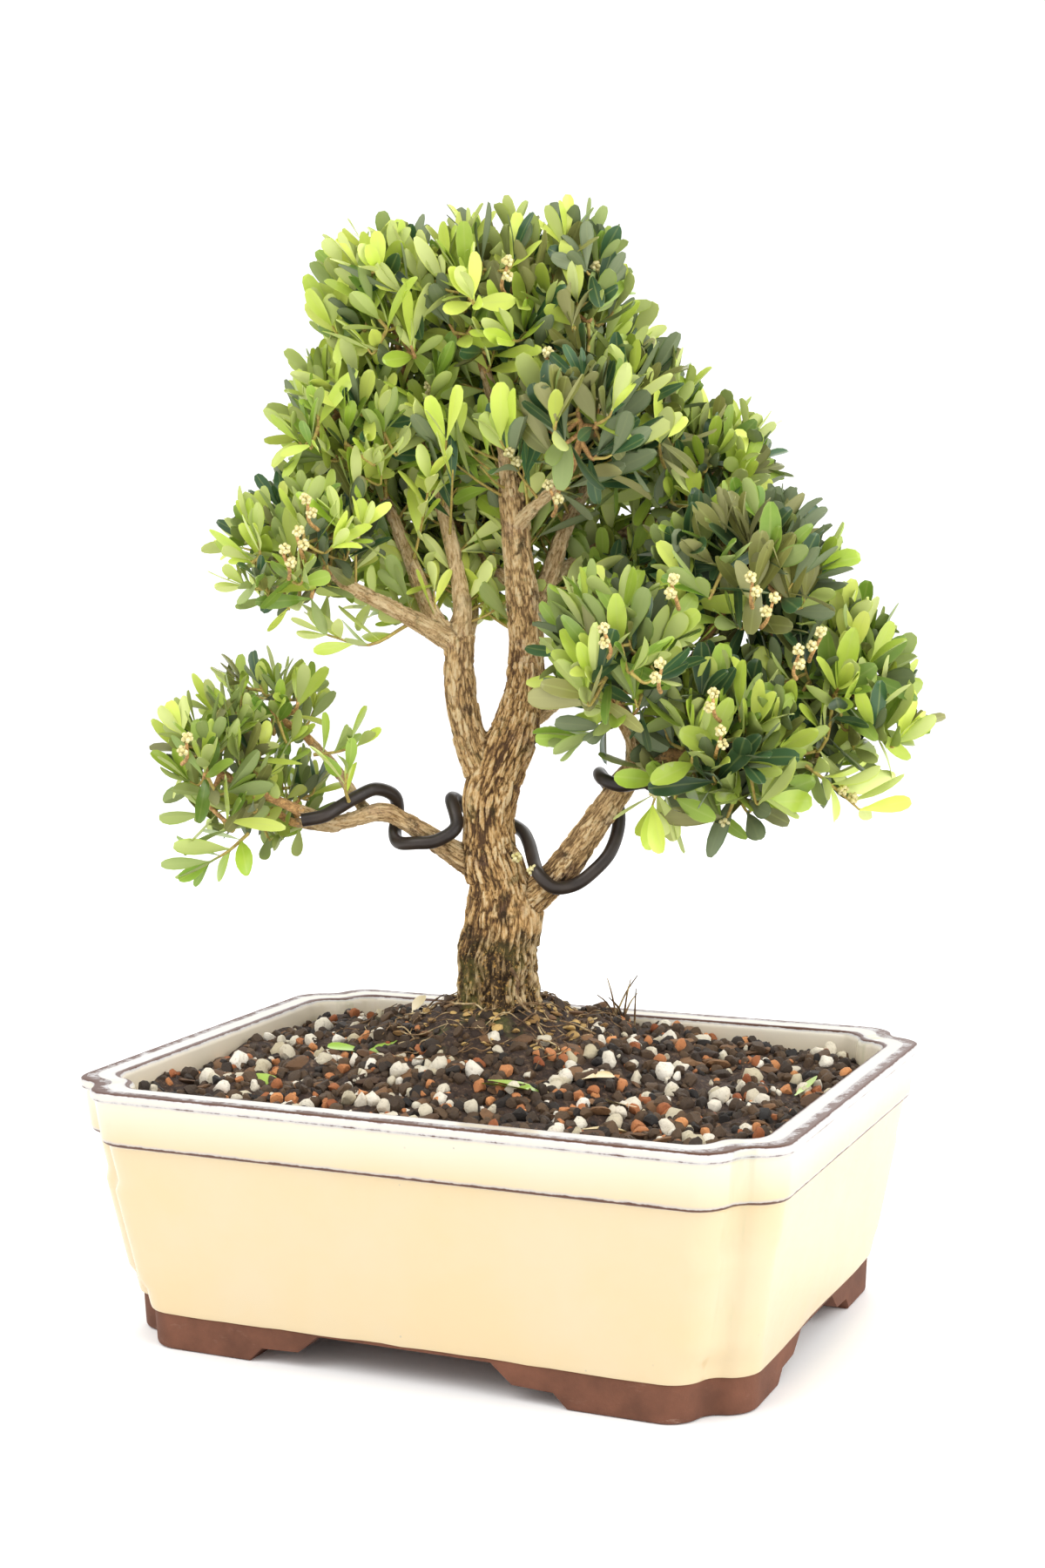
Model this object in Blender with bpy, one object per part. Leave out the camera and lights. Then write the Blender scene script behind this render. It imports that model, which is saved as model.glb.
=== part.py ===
"""Boxwood bonsai in a glazed pot, with the training wire on its two low boughs.

Metres, +Z up. The pot's long side runs along X and it stands on Z = 0. The origin is under
the middle of the whole object's box. The tree has a frame of its own: across its broad
face, back from that face, and up from the soil at its foot. Sizes in that frame are in
millimetres.
"""

import math
import random

import bmesh
import bpy
import numpy as np
from mathutils import Matrix, Vector

MM = 0.001
GAP = 0.3 * MM  # clearance between pieces that touch

# Pot. Each level is half the length and half the width of the outline there.
POT_MIDDLE = Vector((-0.0020, -0.0205, 0.0))
POT_HEIGHT = 0.0913
POT_CORNER_CUT = 0.025
CORNER_TURN = 75.0  # degrees that each lobe of a corner turns before the hollow turns back
RIM_HALF = (0.1310, 0.0983)
RIM_WIDTH = 0.0115
LIP_DEPTH = 0.0030
LIP_OVERHANG = 0.0008
BAND_DEPTH = 0.0186
BAND_TAPER = 0.0016
BAND_STEP = 0.0018
GLAZE_FOOT_HALF = (0.1160, 0.0870)
GLAZE_FOOT_Z = 0.0135
FOOT_HALF = (0.1145, 0.0862)
FOOT_RING_WIDTH = 0.013
UNDERSIDE_Z = 0.0125
FLOOR_Z = 0.0210
INNER_TAPER = 0.0070  # how far the inner wall leans in by the floor
ARCH_TOP_Z = 0.0120
ARCH_LEDGE_Z = 0.0050
# Half spans of an arch: at the table, at each end of its ledge, and at its top.
LONG_ARCH_SPANS = (0.0585, 0.0540, 0.0395, 0.0320)
SHORT_ARCH_SPANS = (0.0410, 0.0370, 0.0255, 0.0180)

# Soil
SOIL_EDGE_Z = 0.0838
SOIL_RINGS = 7
SOIL_STRIDE = 0.024  # longest step between points round the wall
SOIL_SEAT_RADIUS = 0.021
SOIL_SHOULDER = 2.3  # above 1, the mound falls away faster near the trunk
LUMP_HEIGHT = 0.0016
LUMP_SPACING = 0.027
LUMP_HEADINGS = (0.35, 1.45, 2.50)  # of the three rows of lumps that cross
LUMP_FADE = 0.012  # the lumps rise from nothing over this far from the seat

# Tree
TREE_TURN = math.radians(24.4)  # the tree's broad face is turned this far from the pot's
TREE_FOOT = Vector((-0.020, 0.034, 0.103))
FLARE_LOBES = 5
FLARE_DEPTH = 0.13
FLARE_HEIGHT = 16.0

# Training wire, a single bare length of round wire
WIRE_RADIUS = 2.5
WIRE_SLACK = 0.6
WIRE_SIDES = 6
TRUNK_SLACK = 1.5  # where the wire crosses behind the trunk

# Leaves and twigs
LEAF_LENGTH = 31.0
LEAF_WIDTH = 11.5
LEAF_THICKNESS = 0.9
LEAF_SPREAD = (66.0, 40.0)  # angle to the shoot at its first pair and at its last
PAIRS_PER_SHOOT = 2
SHOOTS_PER_MASS = 6
TWIG_RADIUS = (1.5, 1.0)
STEM_TIP_RADIUS = 1.5
ROOT_SUNK = 0.35  # how far a leaf's root lies past the middle of its twig
PAIR_STAGGER = 1.3  # the two leaves of a pair leave the twig this far apart
BUD_RADIUS = 2.3
TWIG_CLEARANCE = 0.6
BORDER_CLEARANCE = 0.4
LEAF_APART = 3.0  # between the outlines of two leaves, past their roots
LEAF_TRIES = 5

COLOURS = {
    "glaze": ((0.88, 0.80, 0.62), 0.25),
    "soil": ((0.07, 0.045, 0.03), 0.95),
    "bark": ((0.42, 0.29, 0.16), 0.9),
    "wire": ((0.03, 0.025, 0.02), 0.4),
    "leaf": ((0.16, 0.30, 0.06), 0.5),
}


def unit(vector):
    return vector / np.linalg.norm(vector)


def across_of(direction, hint):
    """The part of hint that is square to direction, one long."""
    square = hint - np.dot(hint, direction) * direction
    return unit(square)


def smooth_route(knots, steps):
    """Points on a Catmull-Rom curve through the knots, with this many steps a span."""
    ends = np.vstack([2 * knots[0] - knots[1], knots, 2 * knots[-1] - knots[-2]])
    route = []
    for a, b, c, d in zip(ends, ends[1:], ends[2:], ends[3:]):
        for step in range(steps):
            t = step / steps
            route.append(
                0.5 * (2 * b + (c - a) * t + (2 * a - 5 * b + 4 * c - d) * t**2
                       + (3 * b - a - 3 * c + d) * t**3)
            )
    route.append(knots[-1])
    return np.array(route)


class Limb:
    """A tapering limb along a smooth route. Its stations are across, back, up and radius."""

    def __init__(self, name, stations, sides=6, steps=2, parents=()):
        self.name = name
        self.sides = sides
        self.parents = parents
        smooth = smooth_route(np.array(stations, float), steps)
        self.points = smooth[:, :3]
        self.radii = smooth[:, 3]

    @property
    def tip(self):
        return self.points[-1]

    @property
    def heading(self):
        return unit(self.points[-1] - self.points[-2])

    def at(self, share):
        """Point, direction and radius at a share of the limb's length."""
        place = share * (len(self.points) - 1)
        i = min(int(place), len(self.points) - 2)
        part = place - i
        point = self.points[i] * (1 - part) + self.points[i + 1] * part
        radius = self.radii[i] * (1 - part) + self.radii[i + 1] * part
        return point, unit(self.points[i + 1] - self.points[i]), radius


class Mass:
    """A mass of foliage: the limb that bears it, and the ellipsoid that it keeps to."""

    def __init__(self, name, bearer, middle, half, seed, buds=1):
        self.name = name
        self.bearer = bearer
        self.middle = np.array(middle, float)
        self.half = np.array(half, float)
        self.seed = seed
        self.buds = buds


# Stations are (across, back, up, radius).
TRUNK = (
    (0, 0, 0, 17.5),
    (0, 0, 5, 15.6),
    (0.2, 0, 18, 15.8),
    (2.6, 0, 32, 15.3),
    (2, 0, 44, 13.3),
    (-1.5, 0, 58, 10.6),
    (-2, 0, 70, 10.0),
    (-1, 0, 80, 10.8),
    (3, 0, 91, 10.2),
    (8, 1, 103, 9.2),
    (12, 3, 119, 8.1),
    (13, 4, 134, 6.8),
    (11.5, 3, 155, 6.0),
    (9.5, 1, 178, 5.8),
    (8, 0, 197, 5.0),
)
LEFT_BOUGH = (
    (-1, 0, 82, 6.6),
    (-8, 0, 99, 6.5),
    (-11.8, -1, 118, 6.2),
    (-12, -2, 139, 6.0),
)
LOW_RIGHT_BOUGH = (
    (5, 0, 34, 6.6),
    (22.5, -7, 49.5, 6.5),
    (38, -15, 71, 5.5),
    (53, -24, 92, 4.6),
    (64, -31, 96, 3.6),
)
LOW_LEFT_BOUGH = (
    (-2, 0, 50, 5.4),
    (-13, 0, 56, 5.0),
    (-31, -3, 69, 3.9),
    (-42, -5, 74, 3.7),
    (-58, -8, 71, 2.8),
    (-72, -10, 76, 2.3),
)
LIMBS = (
    Limb("trunk", TRUNK, sides=12, steps=1),
    Limb("left_bough", LEFT_BOUGH, sides=8, parents=("trunk",)),
    Limb("low_right_bough", LOW_RIGHT_BOUGH, sides=8, parents=("trunk",)),
    Limb("low_left_bough", LOW_LEFT_BOUGH, sides=8, parents=("trunk",)),
    Limb(
        "left_low_limb",
        ((-12, -2, 135, 4.2), (-30, -6, 146, 3.4), (-50, -12, 157, 2.8), (-59, -14, 164, 2.2)),
        parents=("left_bough",),
    ),
    Limb(
        "left_high_limb",
        ((-12, -2, 134, 4.0), (-22, 2, 147, 3.4), (-30, 6, 168, 3.0), (-39, 8, 190, 2.2)),
        parents=("left_bough", "left_low_limb"),
    ),
    Limb(
        "left_top_limb",
        ((-12, -2, 136, 4.0), (-11, 3, 153, 3.4), (-18, 5, 188, 2.8), (-28, 3, 222, 2.0)),
        parents=("left_bough", "left_low_limb", "left_high_limb"),
    ),
    Limb(
        "left_back_limb",
        ((-12, -2, 133, 4.0), (-8, 16, 150, 3.2), (-18, 38, 172, 2.6), (-28, 48, 184, 2.0)),
        parents=("left_bough", "left_low_limb", "left_high_limb", "left_top_limb"),
    ),
    Limb(
        "top_limb",
        ((8, 0, 190, 3.6), (6, -4, 207, 3.2), (3, -5, 222, 2.8), (-1, -6, 236, 2.2)),
        parents=("trunk",),
    ),
    Limb(
        "top_right_limb",
        ((9, 0, 178, 3.4), (19, 8, 199, 2.8), (28, 10, 221, 2.4), (33, 8, 234, 1.9)),
        parents=("trunk", "top_limb"),
    ),
    Limb(
        "front_right_limb",
        ((9, 0, 178, 3.0), (16, -9, 185, 2.6), (25, -20, 193, 2.2), (29, -27, 198, 1.9)),
        parents=("trunk",),
    ),
    Limb(
        "right_high_limb",
        ((12, 3, 142, 4.0), (21, 12, 158, 3.8), (30, 16, 182, 3.0), (46, 13, 206, 2.2)),
        parents=("trunk",),
    ),
    Limb(
        "right_far_limb",
        ((21, 12, 158, 3.0), (34, 27, 166, 2.8), (56, 34, 178, 2.4), (70, 34, 186, 2.0)),
        parents=("trunk", "right_high_limb"),
    ),
    Limb(
        "back_limb",
        ((11, 3, 156, 3.6), (11, 22, 170, 3.0), (15, 40, 188, 2.4), (19, 48, 200, 2.0)),
        parents=("trunk", "right_high_limb"),
    ),
    Limb(
        "back_top_limb",
        ((9, 1, 182, 3.2), (6, 16, 200, 2.6), (3, 31, 220, 2.2), (2, 37, 231, 1.8)),
        parents=("trunk", "top_limb", "top_right_limb"),
    ),
    Limb(
        "centre_limb",
        ((11, 3, 155, 3.0), (4, 9, 161, 2.5), (-2, 17, 166, 2.2), (-5, 22, 170, 1.9)),
        parents=("trunk", "back_limb"),
    ),
    Limb(
        "right_side_limb",
        ((10, 2, 106, 4.4), (20, 9, 111, 3.8), (31, 19, 121, 3.0), (39, 28, 135, 2.2)),
        parents=("trunk",),
    ),
    Limb(
        "right_inner_limb",
        ((52, -23, 91, 3.4), (50, -31, 102, 2.8), (46, -36, 110, 2.4), (43, -39, 116, 2.0)),
        parents=("low_right_bough",),
    ),
    Limb(
        "right_upper_limb",
        ((53, -24, 92, 3.4), (61, -27, 106, 3.0), (72, -25, 128, 2.5), (78, -24, 138, 2.0)),
        parents=("low_right_bough", "right_inner_limb"),
    ),
    Limb(
        "right_outer_limb",
        ((55, -24, 93, 3.4), (70, -20, 103, 3.0), (88, -16, 110, 2.5), (102, -15, 113, 2.0)),
        parents=("low_right_bough", "right_inner_limb", "right_upper_limb"),
    ),
    Limb(
        "low_left_upper_limb",
        ((-46, -6, 73, 2.6), (-53, 4, 80, 2.4), (-60, 5, 91, 2.2), (-69, 3, 101, 1.8)),
        parents=("low_left_bough",),
    ),
    Limb(
        "low_left_lower_limb",
        ((-53, -7, 72, 2.5), (-60, 2, 68, 2.2), (-69, 7, 68, 2.0), (-75, 9, 69, 1.8)),
        parents=("low_left_bough", "low_left_upper_limb"),
    ),
)

MASSES = (
    Mass("leaves_left_low", "left_low_limb", (-67, -10, 170), (37, 46, 33), 11),
    Mass("leaves_left_high", "left_high_limb", (-50, 4, 215), (36, 46, 36), 12),
    Mass("leaves_top_left", "left_top_limb", (-34, 0, 255), (34, 44, 37), 13, 0),
    Mass("leaves_top", "top_limb", (0, -8, 260), (34, 44, 36), 14),
    Mass("leaves_top_right", "top_right_limb", (29, 0, 256), (28, 42, 41), 15),
    Mass("leaves_centre", "centre_limb", (-13, 30, 180), (38, 27, 44), 16, 0),
    Mass("leaves_front_right", "front_right_limb", (33, -36, 212), (27, 28, 28), 37, 2),
    Mass("leaves_right_high", "right_high_limb", (51, 6, 216), (34, 46, 35), 18),
    Mass("leaves_right_far", "right_far_limb", (81, 30, 196), (36, 44, 34), 19),
    Mass("leaves_right_side", "right_side_limb", (50, 36, 152), (36, 34, 32), 20, 0),
    Mass("leaves_back_left", "left_back_limb", (-44, 60, 200), (40, 40, 45), 41, 0),
    Mass("leaves_back_right", "back_limb", (32, 66, 216), (40, 38, 40), 22, 0),
    Mass("leaves_back_top", "back_top_limb", (0, 46, 252), (38, 36, 36), 23, 0),
    Mass("leaves_front_upper", "right_upper_limb", (91, -24, 158), (42, 44, 34), 24),
    Mass("leaves_front_outer", "right_outer_limb", (122, -14, 115), (41, 44, 42), 25),
    Mass("leaves_front_inner", "right_inner_limb", (46, -44, 131), (36, 36, 34), 26),
    Mass("leaves_front_low", "low_right_bough", (82, -34, 98), (38, 42, 38), 27),
    Mass("leaves_low_left_upper", "low_left_upper_limb", (-83, 2, 110), (36, 38, 27), 28),
    Mass("leaves_low_left_outer", "low_left_bough", (-98, -14, 89), (31, 36, 35), 29),
    Mass("leaves_low_left_back", "low_left_lower_limb", (-83, 16, 75), (34, 30, 25), 30, 0),
)


# ---------------------------------------------------------------- scene helpers


def clear_scene():
    for obj in list(bpy.data.objects):
        bpy.data.objects.remove(obj)


def new_collection(name):
    collection = bpy.data.collections.new(name)
    bpy.context.scene.collection.children.link(collection)
    return collection


def make_material(name):
    colour, roughness = COLOURS[name]
    material = bpy.data.materials.new(name)
    material.use_nodes = True
    shader = material.node_tree.nodes["Principled BSDF"]
    shader.inputs["Base Color"].default_value = (*colour, 1)
    shader.inputs["Roughness"].default_value = roughness
    material.diffuse_color = (*colour, 1)
    return material


def add_object(name, mesh, collection, material=None):
    obj = bpy.data.objects.new(name, mesh)
    collection.objects.link(obj)
    if material:
        mesh.materials.clear()
        mesh.materials.append(material)
    return obj


def mesh_of(name, points, faces):
    mesh = bpy.data.meshes.new(name)
    mesh.from_pydata([tuple(p) for p in points], [], faces)
    mesh.update()
    return mesh


def bake_modifiers(obj):
    """Puts the result of the object's modifiers in its mesh."""
    bpy.context.view_layer.update()
    graph = bpy.context.evaluated_depsgraph_get()
    baked = bpy.data.meshes.new_from_object(obj.evaluated_get(graph))
    obj.modifiers.clear()
    old = obj.data
    obj.data = baked
    bpy.data.meshes.remove(old)


def keep_main_shell(obj):
    """Drops loose scraps and fills sealed hollows: only the largest outer shell stays."""
    model = bmesh.new()
    model.from_mesh(obj.data)
    left = set(model.faces)
    shells = []
    while left:
        shell = {left.pop()}
        edge_of_search = list(shell)
        while edge_of_search:
            face = edge_of_search.pop()
            for edge in face.edges:
                for other in edge.link_faces:
                    if other in left:
                        left.remove(other)
                        shell.add(other)
                        edge_of_search.append(other)
        shells.append(shell)
    main = max(shells, key=shell_volume)
    extra = [face for shell in shells if shell is not main for face in shell]
    bmesh.ops.delete(model, geom=extra, context="FACES")
    model.to_mesh(obj.data)
    model.free()


def is_closed(mesh):
    """Whether every edge has just two faces."""
    model = bmesh.new()
    model.from_mesh(mesh)
    closed = all(edge.is_manifold for edge in model.edges)
    model.free()
    return closed


def shell_volume(faces):
    volume = 0.0
    for face in faces:
        first = face.verts[0].co
        for a, b in zip(face.verts[1:], face.verts[2:]):
            volume += first.dot(a.co.cross(b.co)) / 6
    return volume


# ---------------------------------------------------------------- pot and soil


def corner_steps(cut):
    """Steps round one corner, turning from the side's heading to the end's."""
    arcs = ((90, 90 + CORNER_TURN, 8.0, 3), (90 + CORNER_TURN, 180 - CORNER_TURN, 6.0, 2),
            (180 - CORNER_TURN, 180, 8.0, 3))
    steps = []
    for start, end, radius, count in arcs:
        length = radius * math.radians(abs(end - start)) / count
        for i in range(count):
            heading = math.radians(start + (end - start) * (i + 0.5) / count)
            steps.append((length * math.cos(heading), length * math.sin(heading)))
    run = sum(step[1] for step in steps)
    return [(cut * x / run, cut * y / run) for x, y in steps]


def notched_outline(half_x, half_y, cut=POT_CORNER_CUT):
    """Rectangle with a two-lobed corner, anticlockwise from the right-hand corner."""
    x, y = half_x, half_y - cut
    corner = [(x, y)]
    for dx, dy in corner_steps(cut):
        x, y = x + dx, y + dy
        corner.append((x, y))
    mirrored = [(-x, y) for x, y in reversed(corner)]
    return corner + mirrored + [(-x, -y) for x, y in corner] + [(-x, -y) for x, y in mirrored]


def inset(half, by):
    return (half[0] - by, half[1] - by)


def loft(name, rings):
    """Closed shell through rings of equal count, capped at both ends."""
    count = len(rings[0])
    points = [point for ring in rings for point in ring]
    faces = [tuple(reversed(range(count)))]
    for level in range(len(rings) - 1):
        base = level * count
        for i in range(count):
            j = (i + 1) % count
            faces.append((base + i, base + j, base + count + j, base + count + i))
    faces.append(tuple(range(len(points) - count, len(points))))
    return mesh_of(name, points, faces)


def inner_half(z):
    """Half sizes of the pot's inside at height z."""
    top = inset(RIM_HALF, RIM_WIDTH)
    down = (POT_HEIGHT - z) / (POT_HEIGHT - FLOOR_Z)
    return inset(top, INNER_TAPER * down)


def ring_at(half, z, cut=POT_CORNER_CUT):
    return [(x, y, z) for x, y in notched_outline(*half, cut)]


def make_pot(collection, cutters, material):
    band_z = POT_HEIGHT - BAND_DEPTH
    lip_z = POT_HEIGHT - LIP_DEPTH
    under_lip = inset(RIM_HALF, LIP_OVERHANG)
    band_foot = inset(RIM_HALF, LIP_OVERHANG + BAND_TAPER)
    body_top = inset(band_foot, BAND_STEP)
    foot_inside = inset(FOOT_HALF, FOOT_RING_WIDTH)
    inside_cut = POT_CORNER_CUT - 0.003
    rings = [
        ring_at(inset(foot_inside, 0.001), UNDERSIDE_Z, inside_cut),
        ring_at(foot_inside, 0, inside_cut),
        ring_at(FOOT_HALF, 0),
        ring_at(GLAZE_FOOT_HALF, GLAZE_FOOT_Z),
        ring_at(body_top, band_z - 0.0010),
        ring_at(band_foot, band_z),
        ring_at(under_lip, lip_z - 0.0008),
        ring_at(RIM_HALF, lip_z),
        ring_at(RIM_HALF, POT_HEIGHT - 0.0008),
        ring_at(inset(RIM_HALF, 0.0010), POT_HEIGHT),
        ring_at(inset(inner_half(POT_HEIGHT), -0.0008), POT_HEIGHT, inside_cut),
        ring_at(inner_half(POT_HEIGHT - 0.001), POT_HEIGHT - 0.001, inside_cut),
        ring_at(inner_half(FLOOR_Z), FLOOR_Z, inside_cut),
    ]
    pot = add_object("pot", loft("pot", rings), collection, material)
    for spans, along_x in ((LONG_ARCH_SPANS, False), (SHORT_ARCH_SPANS, True)):
        cutter = make_arch_cutter(spans, along_x, cutters)
        cut = pot.modifiers.new("foot_arch", "BOOLEAN")
        cut.operation = "DIFFERENCE"
        cut.solver = "EXACT"
        cut.object = cutter
    bake_modifiers(pot)
    return pot


def make_arch_cutter(spans, along_x, collection):
    """A bar whose section is a stepped arch. It runs under the whole pot."""
    table, ledge_out, ledge_in, top = spans
    rise = (ARCH_LEDGE_Z, ARCH_LEDGE_Z + 0.0006, ARCH_LEDGE_Z + 0.0035)
    half = [(table, -0.001), (table, 0.0005), (ledge_out, rise[0]), (ledge_in, rise[1]),
            (ledge_in - 0.0035, rise[2]), (top, ARCH_TOP_Z)]
    section = half + [(-x, z) for x, z in reversed(half)]
    reach = RIM_HALF[0] + 0.01
    ends = [[(x, -reach * side, z) for x, z in section] for side in (1, -1)]
    mesh = loft("arch", ends)
    if along_x:
        mesh.transform(Matrix.Rotation(math.pi / 2, 4, "Z"))
    cutter = add_object("arch_along_" + ("x" if along_x else "y"), mesh, collection)
    model = bmesh.new()
    model.from_mesh(mesh)
    bmesh.ops.recalc_face_normals(model, faces=model.faces)
    model.to_mesh(mesh)
    model.free()
    cutter.hide_render = True
    cutter.display_type = "WIRE"
    return cutter


def soil_height(x, y):
    """Height of the soil: level at the wall, mounded to a flat seat under the trunk."""
    outer = math.hypot(*inner_half(SOIL_EDGE_Z)) * 0.72
    away = math.hypot(x - TREE_FOOT.x, y - TREE_FOOT.y)
    share = min(1.0, max(0.0, away - SOIL_SEAT_RADIUS) / outer)
    seat_z = TREE_FOOT.z - GAP
    mound = SOIL_EDGE_Z + (seat_z - SOIL_EDGE_Z) * (1 - share) ** SOIL_SHOULDER
    return mound + lump(x, y) * min(1.0, max(0.0, away - SOIL_SEAT_RADIUS) / LUMP_FADE)


def lump(x, y):
    """Rise and fall of the loose grit, from three rows of waves that cross."""
    rise = 0.0
    for number, heading in enumerate(LUMP_HEADINGS):
        along = x * math.cos(heading) + y * math.sin(heading)
        rise += math.sin(2 * math.pi * along / LUMP_SPACING + 2 * number)
    return LUMP_HEIGHT * rise / math.sqrt(len(LUMP_HEADINGS))


def divided(outline, counts):
    """The outline with each of its edges cut into that many equal steps."""
    points = []
    for (ax, ay), (bx, by), count in zip(outline, outline[1:] + outline[:1], counts):
        for step in range(count):
            share = step / count
            points.append((ax + (bx - ax) * share, ay + (by - ay) * share))
    return points


def make_soil(collection, material):
    inside_cut = POT_CORNER_CUT - 0.003
    foot_z = FLOOR_Z + GAP
    lowest_edge_z = SOIL_EDGE_Z - 2 * LUMP_HEIGHT
    top = notched_outline(*inset(inner_half(lowest_edge_z), GAP), inside_cut)
    foot = notched_outline(*inset(inner_half(foot_z), GAP), inside_cut)
    counts = [max(1, round(math.dist(a, b) / SOIL_STRIDE)) for a, b in zip(top, top[1:] + top[:1])]
    edge = divided(top, counts)
    rings = [[(x, y, foot_z) for x, y in divided(foot, counts)]]
    seat = Vector((TREE_FOOT.x, TREE_FOOT.y))
    for step in range(SOIL_RINGS):
        share = step / SOIL_RINGS
        ring = []
        for x, y in edge:
            out = Vector((x, y)) - seat
            at = seat + out * (1 - share) + out.normalized() * SOIL_SEAT_RADIUS * share
            ring.append((at.x, at.y, soil_height(at.x, at.y)))
        rings.append(ring)
    seat_ring = []
    for x, y in edge:
        at = seat + (Vector((x, y)) - seat).normalized() * SOIL_SEAT_RADIUS
        seat_ring.append((at.x, at.y, TREE_FOOT.z - GAP))
    rings.append(seat_ring)
    return add_object("soil", loft("soil", rings), collection, material)


# ---------------------------------------------------------------- trunk, limbs and wire


def tube_object(name, points, radii, sides, collection, material=None):
    """A tapering tube of round section, as a closed mesh. Points and radii are in mm."""
    curve = bpy.data.curves.new(name, "CURVE")
    curve.dimensions = "3D"
    curve.bevel_depth = MM
    curve.bevel_resolution = sides // 2 - 2
    curve.use_fill_caps = True
    spline = curve.splines.new("POLY")
    spline.points.add(len(points) - 1)
    for knot, point, radius in zip(spline.points, points, radii):
        knot.co = (*(Vector(point) * MM), 1)
        knot.radius = radius
    guide = add_object(name + "_guide", curve, collection)
    bpy.context.view_layer.update()
    graph = bpy.context.evaluated_depsgraph_get()
    mesh = bpy.data.meshes.new_from_object(guide.evaluated_get(graph))
    bpy.data.objects.remove(guide)
    bpy.data.curves.remove(curve)
    model = bmesh.new()
    model.from_mesh(mesh)
    bmesh.ops.remove_doubles(model, verts=model.verts, dist=0.001 * MM)
    bmesh.ops.recalc_face_normals(model, faces=model.faces)
    model.to_mesh(mesh)
    model.free()
    mesh.name = name
    return add_object(name, mesh, collection, material)


def flare_roots(trunk):
    """Pushes the foot of the trunk out in soft lobes, where the roots leave it."""
    for vertex in trunk.data.vertices:
        up = vertex.co.z / MM
        fade = max(0.0, 1 - up / FLARE_HEIGHT)
        angle = math.atan2(vertex.co.y, vertex.co.x)
        swell = 1 + FLARE_DEPTH * fade * math.cos(FLARE_LOBES * angle + 0.8)
        vertex.co.x *= swell
        vertex.co.y *= swell


def fat_copy(limb, collection):
    """The limb made one gap thicker and longer, as a cutter for what starts on it."""
    gap = GAP / MM
    points = np.vstack([limb.points[:-1], limb.tip + limb.heading * gap])
    fat = tube_object("around_" + limb.name, points, limb.radii + gap, limb.sides, collection)
    if limb.name == "trunk":
        flare_roots(fat)
    fat.hide_render = True
    fat.display_type = "WIRE"
    return fat


def make_limbs(collection, cutters, material):
    by_name = {limb.name: limb for limb in LIMBS}
    fat = {}
    made = []
    for limb in LIMBS:
        obj = tube_object(limb.name, limb.points, limb.radii, limb.sides, collection, material)
        if limb.name == "trunk":
            flare_roots(obj)
        for parent in limb.parents:
            if parent not in fat:
                fat[parent] = fat_copy(by_name[parent], cutters)
            cut = obj.modifiers.new("seat_on_" + parent, "BOOLEAN")
            cut.operation = "DIFFERENCE"
            cut.solver = "EXACT"
            cut.object = fat[parent]
        if limb.parents:
            bake_modifiers(obj)
            keep_main_shell(obj)
        made.append(obj)
    return made


def round_limb(limb, share, clock, slack=WIRE_SLACK):
    """Where the wire's middle lies on a limb: clock 0 faces the front and 90 is above."""
    point, heading, radius = limb.at(share)
    front = across_of(heading, np.array([0.0, -1.0, 0.0]))
    above = np.cross(heading, front)
    if above[2] < 0:
        above = -above
    turn = math.radians(clock)
    reach = radius + WIRE_RADIUS + slack
    return point + reach * (math.cos(turn) * front + math.sin(turn) * above)


def wire_route():
    """From its cut end on the low left bough, behind the trunk, to the low right bough."""
    limbs = {limb.name: limb for limb in LIMBS}
    left, right, trunk = (
        limbs["low_left_bough"], limbs["low_right_bough"], limbs["trunk"])
    # Share of the bough's length, clock angle round it, and slack beyond touching it.
    left_turns = ((0.97, -25, 1.0), (0.88, 15, 1.0), (0.79, 50, 1.6), (0.70, 70, 2.4),
                  (0.60, 90, 2.6), (0.53, 125, 1.8), (0.48, 175, 1.0), (0.445, 230, 1.2),
                  (0.41, 280, 1.6), (0.36, 330, 0.9), (0.31, 370, 1.2), (0.28, 420, 4.2))
    right_turns = ((0.25, 78, 0.6), (0.24, 35, 0.8), (0.25, -5, 1.0), (0.29, -40, 1.2),
                   (0.35, -65, 1.6), (0.43, -90, 2.4),
                   (0.51, -125, 1.6), (0.57, -170, 0.8), (0.60, -215, 1.2),
                   (0.625, -260, 1.6), (0.645, -305, 1.4), (0.68, -350, 1.0),
                   (0.74, -390, 1.6), (0.81, -415, 2.4), (0.88, -435, 2.8))
    around_trunk = ((78, 175), (74, 132), (70, 105), (68, 70), (65, 35), (61, 5))
    knots = [round_limb(left, *turn) for turn in left_turns]
    for up, side in around_trunk:
        middle, radius = trunk_at(trunk, up)
        reach = radius + WIRE_RADIUS + TRUNK_SLACK
        turn = math.radians(side)
        knots.append(middle + reach * np.array([math.cos(turn), math.sin(turn), 0]))
    knots += [round_limb(right, *turn) for turn in right_turns]
    return smooth_route(np.array(knots), 2)


def trunk_at(trunk, up):
    heights = trunk.points[:, 2]
    middle = [np.interp(up, heights, trunk.points[:, axis]) for axis in range(3)]
    return np.array(middle), np.interp(up, heights, trunk.radii)


# ---------------------------------------------------------------- foliage


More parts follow.
